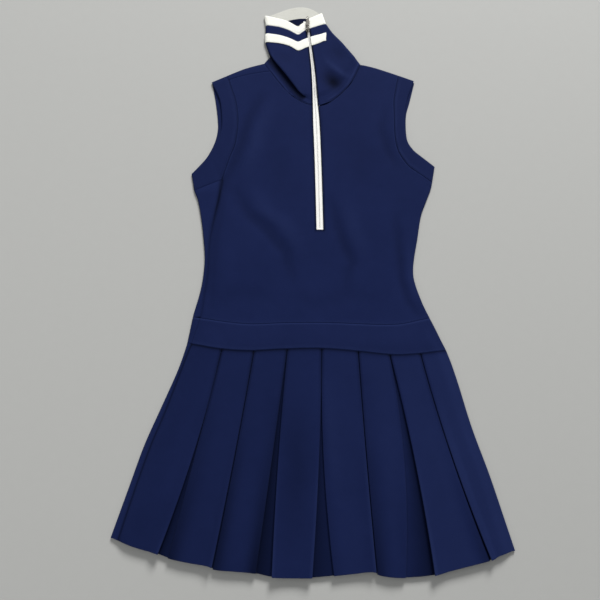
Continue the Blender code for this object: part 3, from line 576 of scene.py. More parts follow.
def makeNavyKnit(name, lift, wale):
    look = navyKnit
    dark, light = [tuple(c * lift for c in look[key]) for key in ("dark", "light")]
    shades = Shades(name, light, look["shader"])
    loops = shades.stitches(wale, look["course"], look["slant"])
    fuzz = shades.grain("Object", 900.0, 3.0, 0.7)
    cloud = shades.grain("Object", 9.0, 3.0, 0.55)
    streak = shades.grain("UV", 55.0, 4.0, 0.6)
    tone = shades.summed([(0.35, fuzz), (0.45, loops), (0.5, cloud), (0.25, streak)])
    color = shades.blended(shades.stretched(tone, *look["spread"]), dark, light)
    # painted shade in hollows and painted highlight on raised edges, from the tone attribute
    shades.paintShadeAndHighlight(color, look["deep"], look["wearAndHighlight"])
    shades.bumped(shades.number("MULTIPLY_ADD", fuzz, 0.4, loops), look["bump"], 0.0004)
    return shades.material


def makeWhiteKnit(name, dark, light, rib, course):
    look = whiteKnit
    shades = Shades(name, light, look["shader"])
    loops = shades.stitches(rib, course, look["slant"])
    fuzz = shades.grain("Object", 700.0, 3.0, 0.65)
    soil = shades.grain("Object", 26.0, 3.0, 0.6)
    tone = shades.summed([(0.3, fuzz), (0.6, loops), (0.4, soil)])
    color = shades.blended(shades.stretched(tone, *look["spread"]), dark, light)
    # painted shade where the tone attribute is below 0
    shades.paintShadeAndHighlight(color, tuple(0.3 * c for c in dark), light)
    shades.bumped(shades.number("MULTIPLY_ADD", fuzz, 0.3, loops), look["bump"], 0.0005)
    return shades.material


def makeThread(name, color):
    shades = Shades(name, color, {"Roughness": 0.85, "Specular IOR Level": 0.08})
    twist = shades.grain("Object", 1500.0, 2.0, 0.6)
    shades.painted(shades.blended(twist, tuple(c * 0.7 for c in color),
                                  tuple(c * 1.25 for c in color)))
    shades.bumped(twist, 0.4, 0.0002)
    return shades.material


def makeMetal(name, color):
    shades = Shades(name, color, {"Metallic": 1.0, "Roughness": 0.22})
    scuff = shades.grain("Object", 420.0, 4.0, 0.7)
    shades.fill(shades.shader, {"Roughness": shades.stretched(scuff, -0.1, 2.6)})
    shades.bumped(scuff, 0.12, 0.0001)
    return shades.material


def makeCoil(name, color, dark, light):
    shades = Shades(name, color, {"Roughness": 0.4})
    wearAndHighlight = shades.grain("Object", 300.0, 3.0, 0.6)
    shades.painted(shades.blended(wearAndHighlight, dark, light))
    shades.bumped(wearAndHighlight, 0.15, 0.0001)
    return shades.material


navy = makeNavyKnit("navy double knit", 1.0, 0.0010)
bandNavy = makeNavyKnit("navy band knit", 0.93, 0.0012)
whiteRib = makeWhiteKnit("white rib", (0.68, 0.67, 0.60), (0.90, 0.90, 0.83), 0.0011, 0.0008)
whiteTape = makeWhiteKnit("white zip tape", (0.74, 0.73, 0.69), (0.93, 0.92, 0.88), 0.0007,
                          0.0006)
navyThread = makeThread("navy thread", (0.013, 0.025, 0.095))
metal = makeMetal("silver metal", (0.21, 0.20, 0.18))
coil = makeCoil("white zip coil", (0.90, 0.89, 0.86), (0.84, 0.83, 0.80), (0.94, 0.93, 0.90))
print("golf dress: materials are ready")


def runLengths(points):
    # how far along a line each point lies, where a missing one adds nothing
    run = [0.0]
    for a, b in zip(points, points[1:]):
        run.append(run[-1] + ((b - a).length if a is not None and b is not None else 0.0))
    return run


def makeCloth(name, rows, look, closed=False, cut=None, wall=knit["wall"], flip=False,
              tone=None):
    # an even grid is moved on to the rows of points, its missing cells are taken out
    # and it gets the cloth's thickness
    count = len(rows[0])
    columns = count if closed else count - 1
    bm = bmesh.new()
    bmesh.ops.create_grid(bm, x_segments=columns, y_segments=len(rows) - 1, size=0.5)
    uvMap = bm.loops.layers.uv.new("cloth")
    shade = bm.verts.layers.float.new("tone")
    place = {vert: (round((vert.co.y + 0.5) * (len(rows) - 1)),
                    round((vert.co.x + 0.5) * columns)) for vert in bm.verts}
    across = [runLengths(row + row[:1] if closed else row) for row in rows]
    along = [runLengths([row[i % count] for row in rows]) for i in range(columns + 1)]
    gone = [face for face in bm.faces
            if cut and cut(min(place[v][0] for v in face.verts),
                           min(place[v][1] for v in face.verts))]
    bmesh.ops.delete(bm, geom=gone, context="FACES")
    missing = []
    for vert in bm.verts:
        j, i = place[vert]
        point = rows[j][i % count]
        if point is None:
            missing.append(vert)
            continue
        vert.co = atHeight(point, max(point.z, wall / 2)) * mm
        vert[shade] = tone(point) if tone else 0.0
        for loop in vert.link_loops:
            loop[uvMap].uv = ((across[j][i] - across[j][columns // 2]) * mm, along[i][j] * mm)
    bmesh.ops.delete(bm, geom=missing, context="VERTS")
    loose = [v for v in bm.verts if not v.link_faces]
    bmesh.ops.delete(bm, geom=loose, context="VERTS")
    if closed:
        bmesh.ops.remove_doubles(bm, verts=bm.verts, dist=1e-7)
    if flip:
        bmesh.ops.reverse_faces(bm, faces=bm.faces)
    piece = makePiece(name, bm, look)
    thick = piece.modifiers.new("Thickness", "SOLIDIFY")
    thick.thickness = wall * mm
    thick.offset = 0.0
    thick.use_quality_normals = True
    edges = piece.modifiers.new("Soft edges", "BEVEL")
    edges.width = 0.35 * mm
    edges.segments = 2
    edges.limit_method = "ANGLE"
    edges.angle_limit = math.radians(62)
    return piece


def makePiece(name, bm, look, body="dress"):
    mesh = bpy.data.meshes.new(name)
    bm.to_mesh(mesh)
    bm.free()
    mesh.shade_smooth()
    mesh.materials.append(look)
    piece = bpy.data.objects.new(name, mesh)
    bpy.context.collection.objects.link(piece)
    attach(piece, body)
    return piece


# The bodice: seams and edges that its panels, bands and collar share
leftArmholeFront = [(-150, 140), (-137, 183), (-129, 207), (-125, 242), (-126, 265),
                      (-131, 294), (-139, 318), (-143, 331)]
leftArmholeBack = [(-194, 121), (-160, 148), (-140, 185), (-133, 230), (-135, 270),
                     (-140, 310), (-147, 338)]
rightArmholeFront = [(203, 136), (183, 151), (165, 166), (150, 192), (145, 220),
                       (145, 259), (146, 294), (155, 339)]
rightArmholeBack = [(195, 134), (172, 160), (154, 192), (149, 220), (149, 259),
                      (150, 294), (156, 330)]
leftOpeningFront = [(-200, 152), (-177, 180), (-162, 209), (-154, 230), (-153, 257),
                      (-158, 292), (-172, 324)]
leftOpeningBack = [(-200, 152), (-178, 181), (-165, 209), (-160, 234), (-161, 257),
                     (-166, 292), (-173, 326)]
rightOpeningFront = [(209, 165), (187, 184), (174, 197), (165, 217), (163, 259),
                       (168, 290), (182, 328)]
rightOpeningBack = [(209, 165), (188, 184), (175, 197), (166, 217), (166, 259),
                      (174, 290), (184, 328)]
leftShoulderSeam = [(-143, 331), (-128, 337), (-105, 343), (-71, 349)]
leftShoulderFold = [(-147, 338), (-114, 353), (-81, 363)]
rightShoulderFold = [(89, 361), (115, 354), (155, 339)]
rightShoulderSeam = [(86, 352), (115, 345), (156, 330)]
neckLeft = [(4.5, 280), (-11, 286), (-22, 292), (-39, 306), (-58, 330), (-71, 349)]
neckRight = [(13.5, 280), (28, 283), (51, 301), (70, 322), (80, 341), (89, 361)]
neckBack = [(-81, 363), (-50, 352), (-15, 346), (20, 345), (55, 348), (86, 352)]

# y, x of the middle of the zip, half the width that shows, middle height of the cloth
zipLine = [
    (50, 15, 5.7, 3.9), (147, 13.3, 5.7, 3.9), (201, 12, 5.7, 3.9), (250, 10.3, 5.5, 3.9),
    (280, 9, 4.5, 3.9), (300, 8.1, 3.9, 4.2), (319, 7.2, 3.3, 5.4), (358, 4.7, 2.7, 5.6),
    (399, 0.4, 2.3, 5.6), (437, -4, 2.3, 5.6), (452, -7, 2.3, 5.6),
]

bodice = {
    "shoulder": 10,     # cells along each shoulder
    "neck": 24,         # from each shoulder to the zip
    "side": 46,         # from the waist to the armhole
    "armhole": 38,
    "belowZip": 32,
    "wrapped": 9,       # across the back where it lies on the front
    "overShoulder": 5,
    "bridge": 10,       # along a band, across the side of the dress
    "bandCells": 6,     # across a band
    "zipBottom": 50.0,
    "bandMiddle": 1.9,  # height at which a band's edge stops rolling down
    "tuckIn": 2.0,      # a band's end lies this far in
}


def meets(side, shift, table):
    # x where a line up one side of the dress, shifted inwards, meets a seam across it
    x = side(-125) + shift
    for _ in range(6):
        x = side(curveThrough(table, x)) + shift
    return x


def seamPoints(table, start, end, cells, shift):
    xs = [start + (end - start) * i / cells for i in range(cells + 1)]
    return [(x, curveThrough(table, x) + shift) for x in xs]


def sidePoints(first, side, shift, armhole):
    # up a side of the dress and round its armhole
    points, high = [first], armhole[0][1]
    for i in range(1, bodice["side"] + 1):
        y = first[1] + (high - first[1]) * i / bodice["side"]
        points.append((side(y) + shift, y))
    return points + evenPoints(armhole, bodice["armhole"])[1:]


def bodiceEdges():
    side, armhole, below = bodice["side"], bodice["armhole"], bodice["belowZip"]
    shoulder, half = bodice["shoulder"], bodice["shoulder"] + bodice["neck"]
    bottom, lift = bodice["zipBottom"], seamGap / 2
    low = curveThrough(upperWaist, curveThrough(zipLine, bottom)) + lift
    above = side + armhole - below
    ys = [low + (bottom - low) * i / below for i in range(below + 1)]
    ys += [bottom + (neckLeft[0][1] - bottom) * i / above for i in range(1, above + 1)]
    slots = [[(curveThrough(zipLine, y) + way * curveThrough(zipLine, y, 2), y) for y in ys]
             for way in (-1, 1)]
    starts = {"bottomLeft": (meets(leftSeam, 0, upperWaist), slots[0][0][0]),
              "bottomRight": (slots[1][0][0], meets(rightFold, -foldRadius, upperWaist)),
              "backBottom": (meets(leftFold, foldRadius, upperWaist),
                             meets(rightFold, -knit["wrap"], upperWaist))}
    e = {name: seamPoints(upperWaist, *ends, half, lift) for name, ends in starts.items()}
    slots[0][0], slots[1][0] = e["bottomLeft"][-1], e["bottomRight"][0]
    e["slotLeft"], e["slotRight"] = slots
    e["left"] = sidePoints(e["bottomLeft"][0], leftSeam, 0, leftArmholeFront)
    e["right"] = sidePoints(e["bottomRight"][-1], rightFold, -foldRadius, rightArmholeFront)
    e["backLeft"] = sidePoints(e["backBottom"][0], leftFold, foldRadius, leftArmholeBack)
    e["backRight"] = sidePoints(e["backBottom"][-1], rightFold, -knit["wrap"],
                                rightArmholeBack)
    e["topLeft"] = (evenPoints(leftShoulderSeam, shoulder)
                    + evenPoints(neckLeft, bodice["neck"])[::-1][1:])
    e["topRight"] = (evenPoints(neckRight, bodice["neck"])
                     + evenPoints(rightShoulderFold, shoulder)[1:])
    e["backTop"] = (evenPoints(leftShoulderFold, shoulder)
                    + evenPoints(neckBack, half - 2 * shoulder)[1:]
                    + evenPoints(rightShoulderSeam, shoulder)[1:])
    return e


def acrossTo(start, end, cells):
    # points from one to the other on the front, both ends included
    points = [onFront(start.lerp(end, k / cells)) for k in range(cells + 1)]
    points[0], points[-1] = start.copy(), end.copy()
    return points


def makeFrontBodice(e):
    halves = []
    for bottom, top, left, right in (("bottomLeft", "topLeft", "left", "slotLeft"),
                                     ("bottomRight", "topRight", "slotRight", "right")):
        grid = filled(e[bottom], e[top], e[left], e[right])
        grid = [[onFront(p) for p in line] for line in grid]
        halves.append(crossed(closeRows(crossed(grid))))
    slot = len(halves[0][0])
    rows = closeRows([a + b for a, b in zip(*halves)])
    sideEnd = bodice["side"] + 2
    slotStart = bodice["belowZip"] + 2
    flat = len(rows[0])
    neckEnd = slot + bodice["neck"] + 2
    for step in (0, 1):
        for i in range(flat):
            rolled(rows, step, i, step)
            if i <= neckEnd:
                rolled(rows, len(rows) - 1 - step, i, step)
        for j in range(len(rows)):
            rolled(rows, j, step, step)
            if j > sideEnd:
                rolled(rows, j, flat - 1 - step, step)
            if j > slotStart:
                rolled(rows, j, slot - 1 - step, step)
                rolled(rows, j, slot + step, step)
    extra = knit["foldCells"] + 1
    for j, row in enumerate(rows):
        if j <= sideEnd:
            top = row[-1]
            seam = (rightFold(top.y) - knit["wrap"] + seamGap, top.y)
            row += foldRound(top, (1, 0)) + [atHeight(top, ground), atHeight(seam, ground)]
        else:
            row += [None] * extra
    wraps = [[None] * len(rows[0]) for _ in range(extra)]
    first, last = rows[-1][neckEnd], rows[-1][flat - 1]
    for i in range(neckEnd, flat):
        top = rows[-1][i]
        seam = onBack(pointAlong(rightShoulderSeam, (top.x - first.x) / (last.x - first.x)))
        under = atHeight(top, ground)
        run = foldRound(top, knit["rightOut"]) + [under, stepTo(seam, under, seamGap)]
        for k, point in enumerate(run):
            wraps[k][i] = point
    return makeCloth("frontBodicePanel", rows + wraps, navy, tone=bodiceTone,
                     cut=lambda j, i: i == slot - 1 and j >= slotStart)


def makeBackBodice(e):
    grid = filled(e["backBottom"], e["backTop"], e["backLeft"], e["backRight"])
    rows = closeRows([[onBack(p) for p in line] for line in grid], atEnd=False)
    sideEnd = bodice["side"] + 2
    ahead = bodice["wrapped"] + knit["foldCells"] + 2
    for j, row in enumerate(rows):
        if j > sideEnd:
            rows[j] = [None] * ahead + row
            continue
        under = row[0]
        top = atHeight(under, foldTop)
        y = under.y if j < sideEnd else leftArmholeFront[0][1]
        run = acrossTo(onFront((leftSeam(y) - seamGap, y)), top, bodice["wrapped"] - 2)
        run[1:1] = [stepTo(run[0], run[1], reach) for reach in knit["rollReach"]]
        for step in (0, 1):
            run[step] = lowered(run[step], step)
        if j in (0, 1, sideEnd):
            run = [lowered(p, 1 if j == 1 else 0) for p in run[:-1]] + run[-1:]
        rows[j] = run + foldRound(top, (-1, 0)) + row
    onTop = bodice["overShoulder"]
    wraps = [[None] * len(rows[0]) for _ in range(knit["foldCells"] + onTop)]
    for k in range(bodice["shoulder"] + 1):
        top = onFront(rows[-1][ahead + k])
        seam = stepTo(onFront(e["topLeft"][k]), top, seamGap)
        run = acrossTo(top, seam, onTop - 2)
        run[-1:-1] = [stepTo(run[-1], run[-2], reach) for reach in knit["rollReach"][::-1]]
        run[-1], run[-2] = lowered(run[-1], 0), lowered(run[-2], 1)
        for n, point in enumerate(foldRound(top, knit["leftOut"]) + run):
            wraps[n][ahead + k] = point
    return makeCloth("backBodicePanel", rows + wraps, navy, tone=bodiceTone)


def makeRing(name, inner, outer):
    cells, middle = bodice["bandCells"], bodice["bandMiddle"]
    seam = [stepTo(a, b, seamGap) for a, b in zip(inner, outer)]
    rows = [[a.lerp(b, k / cells) for a, b in zip(seam, outer)] for k in range(cells + 1)]
    rows = closeRows(rows)
    for step, most in enumerate(knit["rollDrop"]):
        for edge in (step, len(rows) - 1 - step):
            rows[edge] = [p - Vector((0, 0, min(most, 0.6 * max(0.0, p.z - middle))))
                          for p in rows[edge]]
    return makeCloth(name, rows, bandNavy, closed=True, flip=True, tone=ringTone)


def makeArmholeBands(e):
    count, side, bridge = bodice["armhole"], bodice["side"], bodice["bridge"]
    inset = bodice["tuckIn"]
    front = [onFront(p) for p in e["left"][:side - 1:-1]]
    back = [onBack(p) for p in e["backLeft"][side:]]
    fold = atHeight(back[0], foldTop)
    shoulder = onFront(e["backLeft"][-1])
    inner = (front + acrossTo(front[-1], fold, bridge)[1:] + foldRound(fold, (-1, 0)) + back
             + foldRound(shoulder, knit["leftOut"])[::-1] + [shoulder])
    outer = [onFront(p) for p in evenPoints(leftOpeningFront, count + bridge)[::-1]]
    outer[-1] = atHeight(leftOpeningFront[0], foldTop)
    outer += foldRound(outer[-1], (-0.8, -0.6))
    outer += [onBack(p) for p in evenPoints(leftOpeningBack, count)]
    top = atHeight(outer[-1], foldTop)
    outer += foldRound(top, knit["leftOut"])[::-1] + [top]
    outer[0] = stepTo(outer[0], outer[1], inset)
    left = makeRing("leftArmholeBand", inner, outer)

    front = [onFront(p) for p in e["right"][:side - 1:-1]]
    back = [onBack(p) for p in e["backRight"][side:]]
    inner = (front + foldRound(front[-1], (1, 0)) + [atHeight(front[-1], ground)] + back
             + [atHeight(front[0], ground)] + foldRound(front[0], knit["rightOut"])[::-1])
    outer = [onFront(p) for p in evenPoints(rightOpeningFront, count)[::-1]]
    outer[-1] = atHeight(rightOpeningFront[0], foldTop)
    outer += foldRound(outer[-1], (0.8, -0.6))
    outer += [onBack(p) for p in evenPoints(rightOpeningBack, count + 1)]
    outer[-1] = stepTo(outer[-1], outer[-2], inset)
    outer += [atHeight(outer[0], ground)] + foldRound(outer[0], knit["rightOut"])[::-1]
    return left, makeRing("rightArmholeBand", inner, outer)


# The waistband, whose lower edge stands on the pleats
waistband = {"rows": 12, "backCells": 60, "wrapped": 3}


def bandPoint(highX, lowX, depth):
    x = highX + (lowX - highX) * depth
    high = curveThrough(upperWaist, x) - seamGap / 2
    low = curveThrough(lowerWaist, x) + seamGap / 2
    return onFront((x, high + (low - high) * depth))


def turnedUnder(fold, out):
    # a fold's top, the points round it and the one under its top
    top = atHeight(fold, foldTop)
    return [top] + foldRound(top, (out, 0)) + [atHeight(top, ground)]


def makeWaistbands(e):
    tables = (upperWaist, lowerWaist)
    upper = [p[0] for p in e["bottomLeft"] + e["bottomRight"]]
    left = meets(leftSeam, 0, lowerWaist)
    right = meets(rightFold, -foldRadius, lowerWaist)
    lower = [x + ((left - upper[0]) * x / upper[0] if x < 0
                  else (right - upper[-1]) * x / upper[-1]) for x in upper]
    under = [meets(rightFold, -knit["wrap"], table) for table in tables]
    fold = [meets(leftFold, foldRadius, table) for table in tables]
    front, back = [], []
    for k in range(waistband["rows"] + 1):
        depth = k / waistband["rows"]
        row = [bandPoint(a, b, depth) for a, b in zip(upper, lower)]
        seam = bandPoint(under[0] + seamGap, under[1] + seamGap, depth)
        front.append(row[:-1] + turnedUnder(row[-1], 1) + [atHeight(seam, ground)])
        seam = bandPoint(upper[0] - seamGap, lower[0] - seamGap, depth)
        turn = turnedUnder(bandPoint(fold[0], fold[1], depth), -1)
        row = acrossTo(seam, turn[0], waistband["wrapped"])[:-1] + turn
        for i in range(1, waistband["backCells"] + 1):
            highX, lowX = [a + (b - a) * i / waistband["backCells"] for a, b in zip(fold, under)]
            row.append(atHeight(bandPoint(highX, lowX, depth), ground))
        back.append(row)
    made = []
    for name, rows in (("frontWaistbandPanel", front), ("backWaistbandPanel", back)):
        rows = closeRows(rows)
        rollEnds(rows, knit["backTop"])
        made.append(makeCloth(name, rows, bandNavy, flip=True, tone=bandTone))
    return made


# The skirt. One row a pleat: x at the waist, x of its two edges half way down and at the
# hem, how far each edge stands up there, how dark the face beside each edge lies in the
# other's painted shade, how wide that shade is, and the painted shade of the cloth within the
# pleat.
pleatColumns = ("waist", "midLeft", "midRight", "hemLeft", "hemRight", "leftLift",
                "rightLift", "leftShade", "rightShade", "reach", "darkLeft", "darkRight")
frontPleats = [dict(zip(pleatColumns, row)) for row in [
    (-140, -175.5, -173.0, -223, -208.0, 1.0, 0.0, 0.0, 0.62, 15, -0.85, -0.55),
    (-90, -116.5, -114.3, -145, -142.8, 0.9, 0.0, 0.0, 0.60, 12, -0.9, -0.7),
    (-38, -60.0, -50.0, -82, -58.0, 0.2, 0.9, 0.85, 0.0, 13, -0.95, -0.6),
    (16, 10.0, 17.5, -1, 31.0, 0.8, 0.2, 0.0, 0.25, 10, -0.75, -0.45),
    (73, 80.5, 82.7, 91, 93.3, 0.7, 0.0, 0.10, 0.70, 15, -0.9, -0.9),
    (122, 137.5, 154.0, 133, 175.0, 0.0, 1.0, 0.15, 0.0, 14, -0.12, -0.85),
    (170, 206.5, 208.7, 255, 257.4, 0.1, 0.9, 0.55, 0.05, 13, -0.9, -0.9),
]]
backPleats = [dict(zip(pleatColumns, row + (0, 0))) for row in [
    (-140, -180.0, -177.8, -222, -217.0), (-91, -118.0, -115.8, -147, -142.0),
    (-42, -56.0, -53.8, -73, -68.0), (8, 6.0, 8.2, 1, 6.0), (58, 67.0, 69.2, 74, 79.0),
    (108, 129.0, 131.2, 148, 153.0), (157, 186.0, 188.2, 216, 221.0),
]]
# x, y of the front's hem, with a small step at each pleat
hemLine = [
    (-292, -429), (-258.5, -441.4), (-224.3, -450.5), (-206, -457), (-176.1, -463),
    (-147, -467.8), (-142, -471.6), (-114.5, -474), (-83, -476.8), (-58, -481.8),
    (-29.4, -483), (1.6, -482.6), (29.2, -480.2), (56.4, -477.6), (89, -474.6),
    (94, -478.6), (110.7, -481.6), (135, -482.6), (173.2, -479.5), (197, -473.8),
    (220.3, -468.2), (252, -460.8), (259, -458.4), (271.2, -453), (293.1, -446.1),
]
skirt = {
    "rows": 58,
    "leftHem": -429.0,
    "seamHem": -432.7,
    "rightHem": -447.0,
    "deep": 19.0,       # a pleat runs this far under the face beside it
    "closed": 0.9,      # half the distance between the edges of a closed pleat
    "faceCells": 14,
    "sunkCells": 11,    # beside the dress's sides, these stay as low as the side does
    "runCells": 5,
    "underCells": 8,
    "turnCells": 5,
    "liftMore": 4.4,    # an edge that stands up does so by this much at the hem
    "liftPower": 1.7,
    "curlReach": 27.0,  # over this distance from its edge
    "crown": 0.9,       # how far a face rises between its two edges, and how this varies
    "flatTop": 0.15,    # share of the crown at the waist
    "layerShorter": 0.2,    # a layer ends this much higher than the one on it
    "backShorter": 3.0,
    "wrapCells": 4,
    # painted light that grows towards the right, for each millimetre
    "paintedLightRight": 0.0006,
    "topLine": 0.5,     # how much painted shade darkens a pleat's edges at the waist
    "topFade": 1.7,
}


def through(start, middle, end, v):
    return start + (end - start) * v + 4 * (middle - (start + end) / 2) * v * (1 - v)


def curl(lift, distance):
    # how far a flap stands up at a distance from its free edge
    return lift * max(0.0, 1.0 - distance / skirt["curlReach"]) ** 2


def pleatEdges(row, v):
    left = through(row["waist"] - skirt["closed"], row["midLeft"], row["hemLeft"], v)
    right = through(row["waist"] + skirt["closed"], row["midRight"], row["hemRight"], v)
    lift = skirt["liftMore"] * v ** skirt["liftPower"]
    return left, right, row["leftLift"] * lift, row["rightLift"] * lift


def roundTurn(x, side, start, end):
    # x, z and how much shorter the cloth is, round half a turn from one z, shorter to another
    ring, cells = [], skirt["turnCells"]
    for k in range(cells + 1):
        angle = math.pi * k / cells
        share = (1 - math.cos(angle)) / 2
        ring.append((x + side * pitch / 2 * math.sin(angle),
                     start[0] + (end[0] - start[0]) * share,
                     start[1] + (end[1] - start[1]) * k / cells))
    return ring


def pleatPath(row, v, levels):
    # x, z and how much shorter than the hem's line it is, across one box pleat from the
    # face on its left to the one on its right
    face, back, under = levels
    turn, deep, short = pitch / 2, skirt["deep"], skirt["layerShorter"]
    up = 1 if face > under else -1
    left, right, leftLift, rightLift = pleatEdges(row, v)

    def run(a, b, edge, lift):
        cells = skirt["runCells"]
        xs = [a[0] + (b[0] - a[0]) * k / cells for k in range(1, cells)]
        return [(x, back + up * curl(lift, abs(x - edge)), short) for x in xs]

    arcs = [roundTurn(left - turn, 1, (face + up * leftLift, 0.0), (back + up * leftLift, short)),
            roundTurn(left - deep + turn, -1, (back + up * curl(leftLift, deep), short),
                      (under, 2 * short)),
            roundTurn(right + deep - turn, 1, (under, 2 * short),
                      (back + up * curl(rightLift, deep), short)),
            roundTurn(right + turn, -1, (back + up * rightLift, short),
                      (face + up * rightLift, 0.0))]
    cells, a, b = skirt["underCells"], arcs[1][-1], arcs[2][0]
    middle = [tuple(p + (q - p) * k / cells for p, q in zip(a, b)) for k in range(1, cells)]
    return (arcs[0] + run(arcs[0][-1], arcs[1][0], left, leftLift) + arcs[1] + middle + arcs[2]
            + run(arcs[2][-1], arcs[3][0], right, rightLift) + arcs[3])


def dropTo(x, hem, v):
    top = curveThrough(lowerWaist, x) - seamGap / 2
    return top + (hem - top) * v


def sideOf(side, shift, hem, v):
    y = dropTo(meets(side, shift, lowerWaist), skirt[hem], v)
    return (side(y) + shift, y)


def skirtPath(pleats, v, levels, start, end):
    # the whole width of the front or back, with the faces between the pleats
    line, cells, flat = [], skirt["faceCells"], skirt["flatTop"]
    before, liftBefore = start, 0.0
    up = 1 if levels[0] > levels[2] else 0
    for n, row in enumerate(pleats + [None]):
        path = pleatPath(row, v, levels) if row else [end]
        liftLeft, liftRight = pleatEdges(row, v)[2:] if row else (0.0, 0.0)
        after = path[0]
        for k in range(1, cells):
            t = k / cells
            x = before[0] + (after[0] - before[0]) * t
            z = levels[0] + up * (curl(liftBefore, x - before[0]) + curl(liftLeft, after[0] - x))
            wave = noise.noise(Vector((n * 2.3, v * 2.6, t * 1.5)))
            crown = skirt["crown"] * max(0.0, 1 + wave) * (flat + (1 - flat) * v)
            z += up * crown * math.sin(math.pi * t) ** 1.5
            line.append((x, z, 0.0))
        line += path
        before, liftBefore = path[-1], liftRight
    return line[:-1]


def skirtRow(pleats, levels, v, start, end, shorter):
    # one row of points; each runs straight from its place at the waist to that at the hem
    line, waist, hem = [skirtPath(pleats, w, levels, (sideOf(*start, w)[0], levels[0]),
                                  (sideOf(*end, w)[0], levels[0])) for w in (v, 0.0, 1.0)]
    row = []
    for point, first, last in zip(line, waist, hem):
        low = curveThrough(hemLine, last[0]) + last[2] + shorter
        row.append(Vector((point[0], dropTo(first[0], low, v), point[1])))
    return row


def sewnSkirt(name, rows, tone, more):
    # its waist and its edge at the left seam roll down, the waist by more where it is high
    rows = crossed(closeRows(crossed(closeRows(rows)), atEnd=False))
    for step in (0, 1):
        for j in range(len(rows)):
            rolled(rows, j, step, step)
        rows[step] = [lowered(p, step, more) if p.z > knit["backTop"] else p
                      for p in rows[step]]
    return makeCloth(name, rows, navy, flip=True, tone=tone)


def makeFrontSkirt():
    top = knit["pleatLevel"]
    seamSide = (leftSeam, 0, "seamHem")
    foldSide = (rightFold, -foldRadius, "rightHem")
    rows = []
    for j in range(skirt["rows"] + 1):
        v = j / skirt["rows"]
        row = skirtRow(frontPleats, (top, top - pitch, top - 2 * pitch), v, seamSide, foldSide,
                       0.0)
        for k in range(skirt["sunkCells"]):
            for point in (row[k], row[-1 - k]):
                point.z = min(point.z, frontHeight(point.x, point.y, False))
        row = [onFront(sideOf(*seamSide, v))] + row + turnedUnder(sideOf(*foldSide, v), 1)
        rows.append(row + [onBack(sideOf(rightFold, seamGap - knit["wrap"], "rightHem", v))])
    return sewnSkirt("frontSkirtPanel", rows, skirtTone, 0.5)


def makeBackSkirt():
    foldSide = (leftFold, foldRadius, "leftHem")
    wrapSide = (rightFold, -knit["wrap"], "rightHem")
    rows = []
    for j in range(skirt["rows"] + 1):
        v = j / skirt["rows"]
        turn = turnedUnder(sideOf(*foldSide, v), -1)
        seam = onFront(sideOf(leftSeam, -seamGap, "seamHem", v))
        row = acrossTo(seam, turn[0], skirt["wrapCells"])[:-1] + turn
        row += skirtRow(backPleats, (ground, ground + pitch, ground + 2 * pitch), v, foldSide,
                        wrapSide, skirt["backShorter"])
        rows.append(row + [onBack(sideOf(*wrapSide, v))])
    return sewnSkirt("backSkirtPanel", rows, wrapTone, 0.0)


# The collar: levels from the neck seam up, with x, y at columns from the zip to the fold
collarLeft = [
    [(4, 290), (-11, 299), (-27, 319), (-45, 345), (-59, 364), (-69, 379)],
    [(-2.7, 398), (-11, 394), (-22, 390), (-36, 399), (-56, 405), (-77, 407)],
    [(-4.5, 416), (-13, 412), (-22, 408), (-36, 415), (-56, 422), (-77, 425)],
    [(-6.6, 435), (-14, 429), (-22, 424), (-36, 432), (-56, 440), (-77, 443)],
    [(-10.5, 449.5), (-17, 444.5), (-23, 441), (-40, 451.5), (-60, 458), (-80, 463)],
]
collarRight = [
    [(12.5, 296), (30, 303), (51, 322), (69, 346), (82, 370)],
    [(2.7, 400), (11, 403), (20, 407), (29, 410), (54, 408)],
    [(0.7, 418), (10, 421), (20, 424), (29, 427), (38, 427)],
    [(-1.6, 436), (6, 439), (13, 441.5), (20, 444), (26.5, 446)],
    [(-5.0, 455), (1, 458.5), (8, 462), (14, 465), (20, 468)],
]
collar = {
    "backBow": (0, 4.5, 9, 15, 17.6),   # how far the back's levels arch over the front's
    "backSkew": 0.5,
    "backReach": 0.93,
    "slopeStep": 1.5,   # between rows of points where the cloth lies plain, and at a tuck's end
    "steepStep": 0.4,
    "plainLow": 4.2,
    "neckGap": 0.5,     # also below the binding
    "backColumns": 8,
    # depth of the tuck at each column, from the zip to the left fold
    "tuck": [None, None, 0, 2, 5, 7, 7, 7, 5, 2, 0],
    "bandRow": 13,
    "stripeRow": 10,
    "stripeColumns": 7,
    "fine": 4,          # fine cells in each control cell, both ways
    "stripeWall": 0.8,
    "shadow": 15.0,     # width of the painted shadow under the tuck
    "creasedFrom": 1.8, # creases reach the cloth down to this far under the collar's level
    "rollAbove": 2.6,
}


def refine(points):
    result = [points[0]]
    for k in range(len(points) - 1):
        a, b = points[k], points[k + 1]
        before = points[k - 1] if k else a
        after = points[k + 2] if k + 2 < len(points) else b
        result += [tuple(0.5625 * (p + q) - 0.0625 * (r + s)
                         for p, q, r, s in zip(a, b, before, after)), b]
    return result


def halve(points):
    result = [points[0]]
    for a, b in zip(points, points[1:]):
        result += [((a[0] + b[0]) / 2, (a[1] + b[1]) / 2), b]
    return result


def mixAt(a, b, ta, tb, t):
    return a * ((tb - t) / (tb - ta)) + b * ((t - ta) / (tb - ta))


